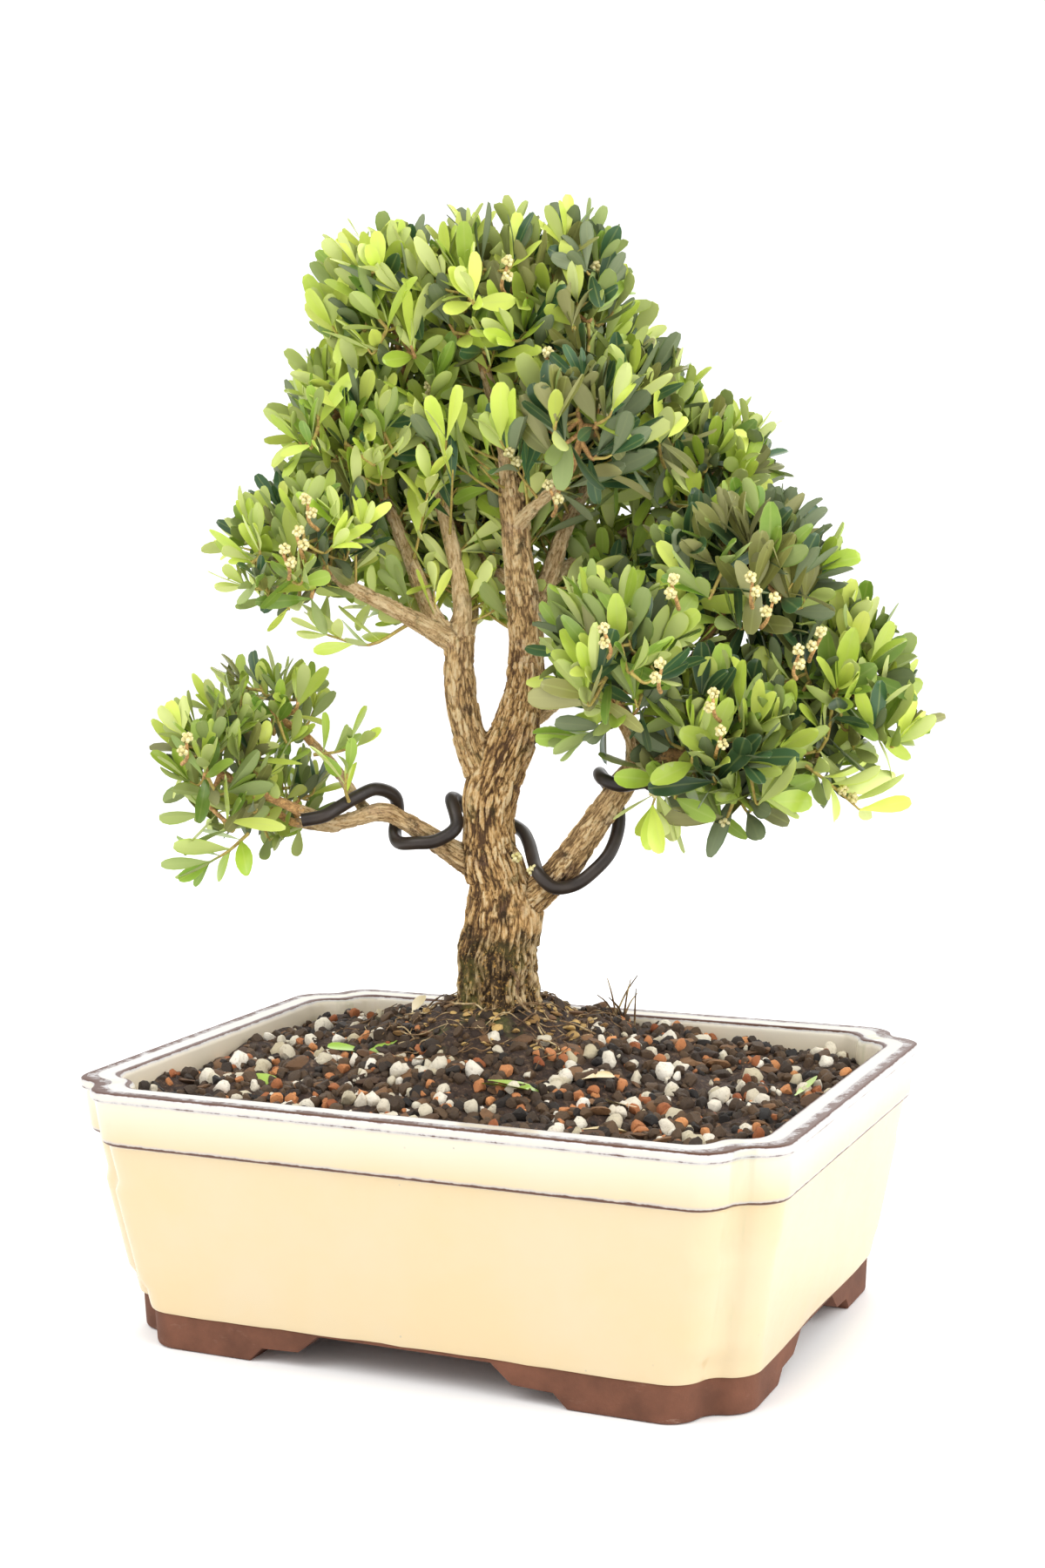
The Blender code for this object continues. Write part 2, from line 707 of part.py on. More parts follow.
class Space:
    """The room that a mass may fill: its ellipsoid, less its neighbours' and the limbs'."""

    def __init__(self, mass, wire):
        self.mass = mass
        self.walls = []
        for other in MASSES:
            if other is mass:
                continue
            away = other.middle - mass.middle
            far = np.linalg.norm(away)
            toward = away / far
            own = reach_along(mass, toward)
            theirs = reach_along(other, toward)
            if own + theirs < far:
                continue
            wall = far * own / (own + theirs)
            self.walls.append((toward, np.dot(mass.middle, toward) + wall - BORDER_CLEARANCE))
        starts, ends, radii = [], [], []
        for points, sizes in [(limb.points, limb.radii) for limb in LIMBS] + [wire]:
            starts.append(points[:-1])
            ends.append(points[1:])
            radii.append(np.maximum(sizes[:-1], sizes[1:]))
        self.starts = np.vstack(starts)
        self.runs = np.vstack(ends) - self.starts
        self.radii = np.concatenate(radii)

    def holds(self, points):
        outward = (points - self.mass.middle) / self.mass.half
        if (np.sum(outward**2, axis=1) > 1).any():
            return False
        return all((points @ toward < limit).all() for toward, limit in self.walls)

    def clears_limbs(self, points):
        gaps = points[:, None, :] - self.starts[None, :, :]
        along = np.sum(gaps * self.runs, axis=2) / np.sum(self.runs**2, axis=1)
        nearest = gaps - np.clip(along, 0, 1)[:, :, None] * self.runs
        distance = np.linalg.norm(nearest, axis=2) - self.radii
        return bool((distance > TWIG_CLEARANCE).all())


def reach_along(mass, direction):
    """How far the mass's ellipsoid reaches from its middle in a direction."""
    return 1 / np.linalg.norm(direction / mass.half)


def spread_directions(count, chance):
    """Evenly spread directions, turned at random as a whole."""
    golden = math.pi * (3 - math.sqrt(5))
    turn = chance.uniform(0, 2 * math.pi)
    tilt = Matrix.Rotation(chance.uniform(-0.5, 0.5), 3, "X")
    directions = []
    for i in range(count):
        up = 1 - 2 * (i + 0.5) / count
        flat = math.sqrt(1 - up * up)
        angle = turn + golden * i
        directions.append(np.array(tilt @ Vector((flat * math.cos(angle), flat * math.sin(angle), up))))
    return directions


def leaf_points(root, heading, normal, length, width):
    """Root, left, tip, right and rib of a leaf, flat above and widest beyond its middle."""
    side = np.cross(normal, heading)
    widest = root + heading * length * 0.58
    rib = root + heading * length * 0.35 - normal * LEAF_THICKNESS
    return np.array([
        root, widest + side * width / 2, root + heading * length, widest - side * width / 2, rib])


LEAF_FACES = ((0, 3, 2, 1), (3, 0, 4), (2, 3, 4), (1, 2, 4), (0, 1, 4))


def grow_stem(mass, bearer):
    """From 0.3 mm past the limb's tip to just beyond the middle of the mass."""
    start = bearer.tip + bearer.heading * GAP / MM
    aim = mass.middle + 0.1 * (mass.middle - start)
    run = aim - start
    if np.linalg.norm(run) < 9 or np.dot(unit(run), bearer.heading) < 0.2:
        aim = start + bearer.heading * 9 + 0.4 * run
    first = start + bearer.heading * 3
    bend = (first + aim) / 2 + bearer.heading * 2
    radii = np.linspace(bearer.radii[-1] * 0.9, STEM_TIP_RADIUS, 4)
    return np.array([start, first, bend, aim]), radii


def point_on(route, share):
    place = share * (len(route) - 1)
    i = min(int(place), len(route) - 2)
    return route[i] + (place - i) * (route[i + 1] - route[i])


def samples_between(a, b, count=5):
    shares = np.linspace(0, 1, count)[:, None]
    return a * (1 - shares) + b * shares


def leaf_fits(space, leaf, sunk_free):
    """Whether a leaf keeps to its space and clear of the limbs, checked along its edges."""
    outline = [samples_between(leaf[0], leaf[2], 6), samples_between(leaf[1], leaf[2], 3),
               samples_between(leaf[3], leaf[2], 3), samples_between(leaf[0], leaf[1], 4)[1:],
               samples_between(leaf[0], leaf[3], 4)[1:], leaf[4:]]
    points = np.vstack(outline)
    return space.holds(leaf[sunk_free:]) and space.clears_limbs(points)


def grow_mass(mass, wire):
    """Twigs and leaves of a mass: routes with radii, and leaves' corner points."""
    chance = random.Random(mass.seed)
    bearer = next(limb for limb in LIMBS if limb.name == mass.bearer)
    space = Space(mass, wire)
    stem, stem_radii = grow_stem(mass, bearer)
    twigs, leaves, buds = [], [], []
    back = unit(stem[0] - mass.middle)
    for direction in spread_directions(SHOOTS_PER_MASS + 1, chance):
        if np.dot(direction, back) > 0.75:
            continue
        surface = reach_along(mass, direction)
        end = mass.middle + direction * max(surface - 0.62 * LEAF_LENGTH, 0.35 * surface)
        for toward, limit in space.walls:
            beyond = np.dot(end, toward) - (limit - 0.25 * LEAF_LENGTH)
            if beyond > 0:
                end = end - toward * beyond
        leave = 0.45 + 0.5 * max(0.0, np.dot(direction, -back)) + chance.uniform(-0.05, 0.05)
        start = point_on(stem, min(leave, 0.97))
        run = end - start
        if np.linalg.norm(run) < 6:
            end = start + direction * 6
            run = end - start
        route = np.array([start, end])
        if not (space.holds(route[1:]) and space.clears_limbs(samples_between(start, end)[1:])):
            continue
        twigs.append((route, TWIG_RADIUS))
        grow_leaves(space, route, chance, leaves)
        if len(buds) < mass.buds:
            bud = point_on(route, 0.62) + np.array([0, 0, 1.2])
            if space.holds(bud[None]) and space.clears_limbs(
                    samples_between(bud - [0, 0, BUD_RADIUS], bud + [0, 0, BUD_RADIUS])):
                buds.append(bud)
    return (stem, stem_radii), twigs, leaves, buds


def grow_leaves(space, route, chance, leaves):
    """Opposite pairs, each square to the last, and one leaf at the tip."""
    turn = chance.uniform(0, math.pi)
    for pair in range(PAIRS_PER_SHOOT):
        share = 0.45 + 0.42 * pair / max(1, PAIRS_PER_SHOOT - 1)
        at = point_on(route, share)
        axis = unit(point_on(route, min(1.0, share + 0.05)) - point_on(route, share - 0.05))
        spread = math.radians(LEAF_SPREAD[0] + (LEAF_SPREAD[1] - LEAF_SPREAD[0]) * share)
        first = across_of(axis, np.array([0.3, 0.2, 1.0]))
        second = np.cross(axis, first)
        for side in (0, math.pi):
            angle = turn + side + pair * math.pi / 2 + chance.uniform(-0.2, 0.2)
            at = at + axis * PAIR_STAGGER * math.cos(side)
            out = math.cos(angle) * first + math.sin(angle) * second
            heading = unit(math.cos(spread) * axis + math.sin(spread) * out + [0, 0, 0.15])
            add_leaf(space, at, axis, heading, chance, leaves)
    axis = unit(route[-1] - route[-2])
    end = route[-1] - axis * TWIG_RADIUS[1]
    add_leaf(space, end, across_of(axis, np.array([0.1, 0.2, 1.0])), axis, chance, leaves)


def add_leaf(space, at, face_hint, heading, chance, leaves):
    """A leaf in the first of a few directions and sizes in which it fits, or none."""
    length = LEAF_LENGTH * chance.uniform(0.86, 1.08)
    for shorter in np.linspace(1.0, 0.7, LEAF_TRIES):
        normal = across_of(heading, face_hint + np.array([0.05, 0.0, 0.5]))
        leaf = leaf_points(at - heading * ROOT_SUNK, heading, normal, length * shorter,
                           LEAF_WIDTH * math.sqrt(shorter))
        if leaf_fits(space, leaf, 1) and apart(leaf, leaves):
            leaves.append(leaf)
            return
        stray = np.array([chance.uniform(-0.4, 0.4) for _ in range(3)])
        heading = unit(heading + stray)


def apart(leaf, leaves):
    """Whether a leaf crosses none of the others past its root."""
    if not leaves:
        return True
    own = leaf_marks(leaf)
    others = np.vstack([leaf_marks(other) for other in leaves])
    return np.linalg.norm(own[:, None] - others[None], axis=2).min() > LEAF_APART


def leaf_marks(leaf):
    return np.vstack([samples_between(leaf[0] + 0.25 * (leaf[2] - leaf[0]), leaf[2], 5),
                      leaf[1:2], leaf[3:4]])


def make_mass(mass, wire, collection, material):
    """One solid: the stem with its twigs, leaves and bud clusters joined to it."""
    (stem, stem_radii), twigs, leaves, buds = grow_mass(mass, wire)
    parts = new_collection(mass.name + "_parts")
    obj = tube_object(mass.name, stem, stem_radii, 4, collection, material)
    for number, (route, radii) in enumerate(twigs):
        add_twig(f"{mass.name}_twig_{number}", route, radii, parts)
    for number, leaf in enumerate(leaves):
        add_object(f"{mass.name}_leaf_{number}", mesh_of("leaf", leaf * MM, LEAF_FACES), parts)
    for number, bud in enumerate(buds):
        model = bmesh.new()
        bmesh.ops.create_icosphere(model, subdivisions=1, radius=BUD_RADIUS * MM)
        bmesh.ops.translate(model, verts=model.verts, vec=Vector(bud) * MM)
        mesh = bpy.data.meshes.new("bud")
        model.to_mesh(mesh)
        model.free()
        add_object(f"{mass.name}_bud_{number}", mesh, parts)
    stem_alone = obj.data.copy()
    for solver in ("EXACT", "MANIFOLD"):
        obj.data = stem_alone.copy()
        join = obj.modifiers.new("join", "BOOLEAN")
        join.operation = "UNION"
        join.solver = solver
        join.operand_type = "COLLECTION"
        join.collection = parts
        bake_modifiers(obj)
        keep_main_shell(obj)
        if is_closed(obj.data):
            break
    for part in list(parts.objects):
        bpy.data.objects.remove(part)
    bpy.data.collections.remove(parts)
    return obj


def add_twig(name, route, radii, collection):
    """A three-sided tapering twig."""
    rings = []
    for i, (point, radius) in enumerate(zip(route, radii)):
        ahead = route[min(i + 1, len(route) - 1)] - route[max(i - 1, 0)]
        axis = unit(ahead)
        first = across_of(axis, np.array([0.37, 0.21, 0.9]))
        second = np.cross(axis, first)
        ring = []
        for corner in range(3):
            angle = corner * 2 * math.pi / 3
            outward = math.cos(angle) * first + math.sin(angle) * second
            ring.append((point + radius * outward) * MM)
        rings.append(ring)
    return add_object(name, loft(name, rings), collection)


def main():
    clear_scene()
    parts = new_collection("boxwood_bonsai")
    cutters = new_collection("cutters")
    material = {name: make_material(name) for name in COLOURS}

    tree = bpy.data.objects.new("tree", None)
    parts.objects.link(tree)
    tree.location = TREE_FOOT + POT_MIDDLE
    tree.rotation_euler.z = TREE_TURN

    for piece in (make_pot(parts, cutters, material["glaze"]), make_soil(parts, material["soil"])):
        piece.location = POT_MIDDLE

    pieces = make_limbs(parts, cutters, material["bark"])
    wire = wire_route()
    wire_sizes = np.full(len(wire), WIRE_RADIUS)
    pieces.append(
        tube_object("training_wire", wire, wire_sizes, WIRE_SIDES, parts, material["wire"]))
    for mass in MASSES:
        pieces.append(make_mass(mass, (wire, wire_sizes), parts, material["leaf"]))
    for piece in pieces:
        piece.parent = tree


main()
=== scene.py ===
"""Boxwood bonsai in a glazed pot: the looks, built round the fixed frame of the solids.

Metres, +Z up. The tree has a frame of its own, in millimetres: across its broad face, back
from that face, and up from the soil at its foot. The pot's pieces are made round the pot's
own middle and then moved to it.
"""

import math
import random

import bpy
import numpy as np
from bpy.props import FloatProperty, FloatVectorProperty, IntProperty, PointerProperty
from bpy.types import Operator, Panel, PropertyGroup
from mathutils import Matrix, Vector


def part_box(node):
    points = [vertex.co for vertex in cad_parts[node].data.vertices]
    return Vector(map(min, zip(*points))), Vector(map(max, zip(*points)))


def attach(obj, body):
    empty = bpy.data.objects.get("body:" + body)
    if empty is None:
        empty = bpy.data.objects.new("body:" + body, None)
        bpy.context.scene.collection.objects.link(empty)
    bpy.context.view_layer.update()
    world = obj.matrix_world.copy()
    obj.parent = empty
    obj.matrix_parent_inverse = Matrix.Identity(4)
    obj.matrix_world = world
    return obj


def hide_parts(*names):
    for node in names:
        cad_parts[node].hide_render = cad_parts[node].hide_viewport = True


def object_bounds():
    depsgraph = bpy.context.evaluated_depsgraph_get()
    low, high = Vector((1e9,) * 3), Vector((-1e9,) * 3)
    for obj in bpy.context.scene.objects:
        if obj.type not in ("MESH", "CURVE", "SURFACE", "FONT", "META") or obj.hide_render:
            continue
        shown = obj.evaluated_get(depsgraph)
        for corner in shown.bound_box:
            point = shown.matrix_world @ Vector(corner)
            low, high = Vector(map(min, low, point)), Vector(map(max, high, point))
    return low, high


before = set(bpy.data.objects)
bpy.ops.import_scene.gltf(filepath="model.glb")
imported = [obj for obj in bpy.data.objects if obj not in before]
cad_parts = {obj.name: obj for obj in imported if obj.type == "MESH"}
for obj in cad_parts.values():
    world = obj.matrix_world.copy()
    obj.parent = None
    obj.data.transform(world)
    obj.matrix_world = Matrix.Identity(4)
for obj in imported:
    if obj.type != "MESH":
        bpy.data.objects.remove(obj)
CAD_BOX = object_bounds()

bl_info = {
    "name": "Boxwood bonsai",
    "version": (1, 0, 0),
    "blender": (4, 5, 0),
    "location": "View3D > Sidebar > Bonsai",
    "description": "Glazed pot, gritty soil, corky bark, training wire and fine box foliage",
    "category": "Object",
}

MM = 0.001
FULL_TURN = 2 * math.pi

# ---------------------------------------------------------------- the pot's sizes, in metres

POT_LOW, POT_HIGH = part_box("pot")
POT_MIDDLE = Vector(((POT_LOW.x + POT_HIGH.x) / 2, (POT_LOW.y + POT_HIGH.y) / 2, 0.0))
POT_HEIGHT = POT_HIGH.z
RIM_HALF = (POT_HIGH.x - POT_MIDDLE.x, POT_HIGH.y - POT_MIDDLE.y)
POT_CORNER_CUT = 0.025
INNER_CORNER_CUT = POT_CORNER_CUT - 0.003
CORNER_TURN = 75.0  # degrees that each lobe of a corner turns before the hollow turns back
RIM_WIDTH = 0.0115
LIP_DEPTH = 0.0030
LIP_OVERHANG = 0.0008
BAND_DEPTH = 0.0186
BAND_TAPER = 0.0016
BAND_STEP = 0.0018
GLAZE_FOOT_HALF = (0.1160, 0.0870)
GLAZE_FOOT_Z = 0.0135
GLAZE_THICK = 0.0020
FOOT_HALF = (0.1145, 0.0862)
FOOT_RING_WIDTH = 0.013
UNDERSIDE_Z = 0.0125
FLOOR_Z = 0.0210
INNER_TAPER = 0.0070
ARCH_TOP_Z = 0.0120
ARCH_LEDGE_Z = 0.0050
ARCH_CURVE = 0.0035
# Half widths of an arch: at the table, at its ledge's outer and inner ends, and at its top.
LONG_ARCH_SPANS = (0.0585, 0.0540, 0.0395, 0.0320)
SHORT_ARCH_SPANS = (0.0410, 0.0370, 0.0255, 0.0180)
EDGE_FADE = 3 * MM  # how far from a sharp edge the glaze is thinner
SHARP = 0.6
WALL_STEP = 0.004
FOOT_STEP = 0.003
SOIL_EDGE_Z = 0.0838
SOIL_GAP = 0.3 * MM
SOIL_RINGS = 58
SOIL_SEAT_RADIUS = 0.021
SOIL_SHOULDER = 2.3
LUMP_HEIGHT = 0.0016
LUMP_SPACING = 0.027
LUMP_HEADINGS = (0.35, 1.45, 2.50)
LUMP_FADE = 0.012
GRAIN_COVER = 0.0013  # the grains stand this much above the fine soil under them

# ---------------------------------------------------------------- the tree's sizes, in millimetres

TREE_TURN = math.radians(24.4)
TREE_FOOT = Vector((-0.020, 0.034, 0.103))
FLARE_LOBES = 5
FLARE_DEPTH = 0.13
FLARE_HEIGHT = 16.0
WIRE_RADIUS = 2.5
WIRE_SIDES = 18
TRUNK_SLACK = 1.5  # how far the wire stays from the trunk
TWIG_SIDES = 6
OLD_TWIG_RADIUS = 1.0  # a twig that starts thicker than this has brown bark


# ---------------------------------------------------------------- settings, colours and materials


def linear(hex_colour):
    """An sRGB hex colour as linear red, green and blue."""
    channels = [int(hex_colour[i:i + 2], 16) / 255 for i in (1, 3, 5)]
    return tuple(c / 12.92 if c <= 0.04045 else ((c + 0.055) / 1.055) ** 2.4 for c in channels)


def rgba(colour):
    return (*colour, 1.0)


def tint(name, description, hex_colour):
    """A colour that can be set in the sidebar."""
    return FloatVectorProperty(name=name, description=description, subtype="COLOR",
                               default=linear(hex_colour))


def amount(name, description, default, most):
    """A number of things that can be set in the sidebar."""
    return IntProperty(name=name, description=description, default=default, min=0, max=most)


class Paint:
    """A procedural material in the making. Patterns lie in the piece's own coordinates."""

    def __init__(self, name):
        self.material = bpy.data.materials.new(name)
        self.material.use_nodes = True
        self.tree = self.material.node_tree
        self.tree.nodes.clear()
        self.coordinates = None

    @property
    def place(self):
        """The piece's own coordinates."""
        if self.coordinates is None:
            self.coordinates = self.node("ShaderNodeTexCoord").outputs["Object"]
        return self.coordinates

    def node(self, kind, links=None, inputs=None, **settings):
        """Adds a node, with its settings, its input values and the sockets that feed it."""
        made = self.tree.nodes.new(kind)
        for key, value in settings.items():
            setattr(made, key, value)
        for key, value in (inputs or {}).items():
            made.inputs[key].default_value = value
        for key, socket in (links or {}).items():
            self.tree.links.new(socket, made.inputs[key])
        return made

    def attribute(self, name, output="Fac"):
        return self.node("ShaderNodeAttribute", attribute_name=name).outputs[output]

    def scaled(self, scale):
        """The piece's coordinates, stretched."""
        return self.node("ShaderNodeMapping", {"Vector": self.place}, {"Scale": scale}).outputs[0]

    def pattern(self, place, scale, detail, rough):
        return self.node("ShaderNodeTexNoise", {"Vector": place},
                         {"Scale": scale, "Detail": detail, "Roughness": rough})

    def noise(self, size_mm, detail, rough, place=None):
        """Cloudy pattern whose blobs are about this many millimetres across."""
        return self.pattern(place or self.place, 1000 / size_mm, detail, rough).outputs["Fac"]

    def span(self, socket, low, high, to_low=0.0, to_high=1.0):
        """Maps low..high to to_low..to_high, held at its ends."""
        return self.node("ShaderNodeMapRange", {"Value": socket},
                         {"From Min": low, "From Max": high, "To Min": to_low,
                          "To Max": to_high}).outputs["Result"]

    def maths(self, operation, first, second):
        """Two numbers or sockets put together."""
        links, values = {}, {}
        for i, given in enumerate((first, second)):
            (values if isinstance(given, (int, float)) else links)[i] = given
        return self.node("ShaderNodeMath", links, values, operation=operation).outputs[0]

    def plus(self, first, second):
        return self.maths("ADD", first, second)

    def times(self, first, second):
        return self.maths("MULTIPLY", first, second)

    def sway(self, socket, by, middle=0.5):
        """How far a pattern is from its middle, times a number."""
        return self.times(self.maths("SUBTRACT", socket, middle), by)

    def over(self, body, colour, share, most=None):
        """A colour laid over another by a share, of which most is all there can be."""
        share = share if most is None else self.times(share, most)
        made = self.node("ShaderNodeMix", {0: share}, data_type="RGBA", blend_type="MIX")
        for key, value in ((6, body), (7, colour)):
            if isinstance(value, bpy.types.NodeSocket):
                self.tree.links.new(value, made.inputs[key])
            else:
                made.inputs[key].default_value = rgba(value)
        return made.outputs[2]

    def ramp(self, socket, *stops):
        """A colour ramp from (place, colour) stops."""
        made = self.node("ShaderNodeValToRGB", {"Fac": socket})
        elements = made.color_ramp.elements
        while len(elements) < len(stops):
            elements.new(0.5)
        for element, (place, colour) in zip(elements, stops):
            element.position = place
            element.color = rgba(colour)
        return made.outputs["Color"]

    def bump(self, height, depth_mm, strength=1.0, normal=None):
        links = {"Height": height}
        if normal is not None:
            links["Normal"] = normal
        return self.node("ShaderNodeBump", links,
                         {"Strength": strength, "Distance": depth_mm * MM}).outputs["Normal"]

    def surface(self, body=None, rough=None, normal=None, **values):
        """The Principled shader that the material ends in, and the finished material."""
        links = {"Base Color": body, "Roughness": rough, "Normal": normal}
        shader = self.node("ShaderNodeBsdfPrincipled",
                           {key: socket for key, socket in links.items() if socket is not None})
        for key, value in values.items():
            shader.inputs[key.replace("_", " ")].default_value = value
        self.node("ShaderNodeOutputMaterial", {"Surface": shader.outputs[0]})
        return self.material


# ---------------------------------------------------------------- mesh helpers


def unit(vector):
    return vector / np.linalg.norm(vector)


def units(vectors):
    return vectors / np.maximum(np.linalg.norm(vectors, axis=1), 1e-9)[:, None]


def new_piece(name, points, faces):
    """A mesh object from points in metres and faces."""
    mesh = bpy.data.meshes.new(name)
    mesh.from_pydata([tuple(p) for p in points], [], [tuple(f) for f in faces])
    mesh.update()
    obj = bpy.data.objects.new(name, mesh)
    bpy.context.scene.collection.objects.link(obj)
    return obj


def ring_faces(levels, count, joined_up=False):
    """Four-sided faces between rings of points, and from the last ring to the first if
    they are joined up."""
    faces = []
    for level in range(levels if joined_up else levels - 1):
        low = level * count
        high = (level + 1) % levels * count
        for i in range(count):
            j = (i + 1) % count
            faces.append((low + i, low + j, high + j, high + i))
    return faces


def merged(shapes):
    """Many (points, faces) shapes as one."""
    points, faces, total = [], [], 0
    for shape_points, shape_faces in shapes:
        points.append(shape_points)
        faces += [tuple(i + total for i in face) for face in shape_faces]
        total += len(shape_points)
    return np.vstack(points), faces


def small_ball(fineness):
    """Points and faces of a ball of radius one."""
    bpy.ops.object.select_all(action="DESELECT")
    bpy.ops.mesh.primitive_ico_sphere_add(subdivisions=fineness, radius=1.0)
    ball = bpy.context.active_object
    points = points_of(ball)
    faces = [tuple(face.vertices) for face in ball.data.polygons]
    bpy.data.objects.remove(ball)
    return points, faces


def select_only(obj):
    bpy.ops.object.select_all(action="DESELECT")
    obj.select_set(True)
    bpy.context.view_layer.objects.active = obj


def modify(obj, kind, **settings):
    """Adds a modifier with its settings and applies it."""
    modifier = obj.modifiers.new(kind.lower(), kind)
    for key, value in settings.items():
        setattr(modifier, key, value)
    select_only(obj)
    bpy.ops.object.modifier_apply(modifier=modifier.name)


def tidy_normals(obj):
    """Merges doubles and turns every face outwards."""
    select_only(obj)
    bpy.ops.object.mode_set(mode="EDIT")
    bpy.ops.mesh.select_all(action="SELECT")
    bpy.ops.mesh.remove_doubles(threshold=0.00001)
    bpy.ops.mesh.normals_make_consistent(inside=False)
    bpy.ops.object.mode_set(mode="OBJECT")


def close_ends(obj):
    """Fills the two open rims of a lofted piece and turns its faces outwards."""
    select_only(obj)
    bpy.ops.object.mode_set(mode="EDIT")
    bpy.ops.mesh.select_all(action="DESELECT")
    bpy.ops.mesh.select_non_manifold()
    bpy.ops.mesh.edge_face_add()
    bpy.ops.mesh.select_all(action="SELECT")
    bpy.ops.mesh.normals_make_consistent(inside=False)
    bpy.ops.object.mode_set(mode="OBJECT")


def shade(obj, angle=None):
    select_only(obj)
    if angle is None:
        bpy.ops.object.shade_smooth()
    else:
        bpy.ops.object.shade_smooth_by_angle(angle=math.radians(angle))


def settle(obj, material, replaced=()):
    """Gives a finished piece its material and its place in the frame."""
    obj.data.materials.clear()
    obj.data.materials.append(material)
    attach(obj, "root")
    if replaced:
        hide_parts(*replaced)


def put_attribute(obj, name, values):
    """Writes a number or a vector for each point of a piece."""
    values = np.asarray(values, np.float32)
    kind, key = ("FLOAT", "value") if values.ndim == 1 else ("FLOAT_VECTOR", "vector")
    obj.data.attributes.new(name, kind, "POINT").data.foreach_set(key, values.ravel())


def read_vectors(rows, key):
    flat = np.empty(len(rows) * 3)
    rows.foreach_get(key, flat)
    return flat.reshape(-1, 3)


def points_of(obj):
    return read_vectors(obj.data.vertices, "co")


def set_points(obj, points):
    obj.data.vertices.foreach_set("co", np.asarray(points, np.float32).ravel())
    obj.data.update()


def hashed(cell, seed):
    """A repeatable number from 0 to 1 for each whole-numbered cell."""
    mixed = (cell[..., 0] * 374761393 + cell[..., 1] * 668265263 + cell[..., 2] * 2147483647
             + seed * 1274126177).astype(np.int64)
    mixed = (mixed ^ (mixed >> 13)) * 1274126177
    mixed = mixed ^ (mixed >> 16)
    return (mixed & 0xFFFFFF) / float(0xFFFFFF)


def cloud(points, seed=0):
    """Smooth noise from 0 to 1 with blobs about one unit across."""
    base = np.floor(points).astype(np.int64)
    part = points - base
    part = part * part * (3 - 2 * part)
    total = np.zeros(len(points))
    for corner in range(8):
        step = np.array([corner & 1, corner >> 1 & 1, corner >> 2 & 1])
        weight = np.prod(np.where(step, part, 1 - part), axis=1)
        total += weight * hashed(base + step, seed)
    return total


def clouds(points, octaves, seed=0):
    """The same with finer and fainter noise added."""
    total, weight = 0.0, 0.0
    for octave in range(octaves):
        share = 0.55**octave
        total = total + share * cloud(points * 2**octave + 17.3 * octave, seed + octave)
        weight += share
    return total / weight


def plates(points, seed=0):
    """Distance to the border between cells, and a number for each cell."""
    base = np.floor(points).astype(np.int64)
    near = np.full(len(points), 9.0)
    second = np.full(len(points), 9.0)
    name = np.zeros(len(points))
    for step in np.ndindex(3, 3, 3):
        cell = base + np.array(step) - 1
        centre = cell + np.stack([hashed(cell, seed + i) for i in range(3)], axis=1)
        away = np.linalg.norm(points - centre, axis=1)
        closer = away < near
        second = np.where(closer, near, np.minimum(second, away))
        name = np.where(closer, hashed(cell, seed + 7), name)
        near = np.where(closer, away, near)
    return second - near, name


def smooth_step(values, low, high):
    share = np.clip((values - low) / (high - low), 0, 1)
    return share * share * (3 - 2 * share)


# ---------------------------------------------------------------- pot


def corner_steps(cut, fineness):
    """Steps round one corner, two lobes with a hollow between, and how hollow each is."""
    arcs = ((90, 90 + CORNER_TURN, 8.0, 3 * fineness, 0.0),
            (90 + CORNER_TURN, 180 - CORNER_TURN, 6.0, 2 * fineness, 1.0),
            (180 - CORNER_TURN, 180, 8.0, 3 * fineness, 0.0))
    steps = []
    for start, end, radius, count, hollow in arcs:
        length = radius * math.radians(abs(end - start)) / count
        for i in range(count):
            heading = math.radians(start + (end - start) * (i + 0.5) / count)
            steps.append((length * math.cos(heading), length * math.sin(heading), hollow))
    run = sum(step[1] for step in steps)
    return [(cut * x / run, cut * y / run, hollow) for x, y, hollow in steps]


def notched_outline(half, cut=POT_CORNER_CUT, fineness=4, along=24):
    """The pot's outline, anticlockwise, as (x, y, hollow) with its straight sides divided."""
    x, y = half[0], half[1] - cut
    corner = [(x, y, 0.0)]
    for dx, dy, hollow in corner_steps(cut, fineness):
        x, y = x + dx, y + dy
        corner.append((x, y, hollow))
    mirrored = [(-x, y, hollow) for x, y, hollow in reversed(corner)]
    lower = [(-x, -y, hollow) for x, y, hollow in corner]
    last = [(-x, -y, hollow) for x, y, hollow in mirrored]
    outline = []
    for piece, after in zip((corner, mirrored, lower, last), (mirrored, lower, last, corner)):
        outline += piece
        start, end = np.array(piece[-1]), np.array(after[0])
        outline += [tuple(start + (end - start) * i / along) for i in range(1, along)]
    return np.array(outline)


def inset(half, by):
    return (half[0] - by, half[1] - by)


def both(by):
    return (by, by)


def from_rim(half):
    """How far inside the rim an outline of this half size lies, on each of its sides."""
    return (RIM_HALF[0] - half[0], RIM_HALF[1] - half[1])


def inner_half(z):
    down = (POT_HEIGHT - z) / (POT_HEIGHT - FLOOR_Z)
    return inset(inset(RIM_HALF, RIM_WIDTH), INNER_TAPER * down)


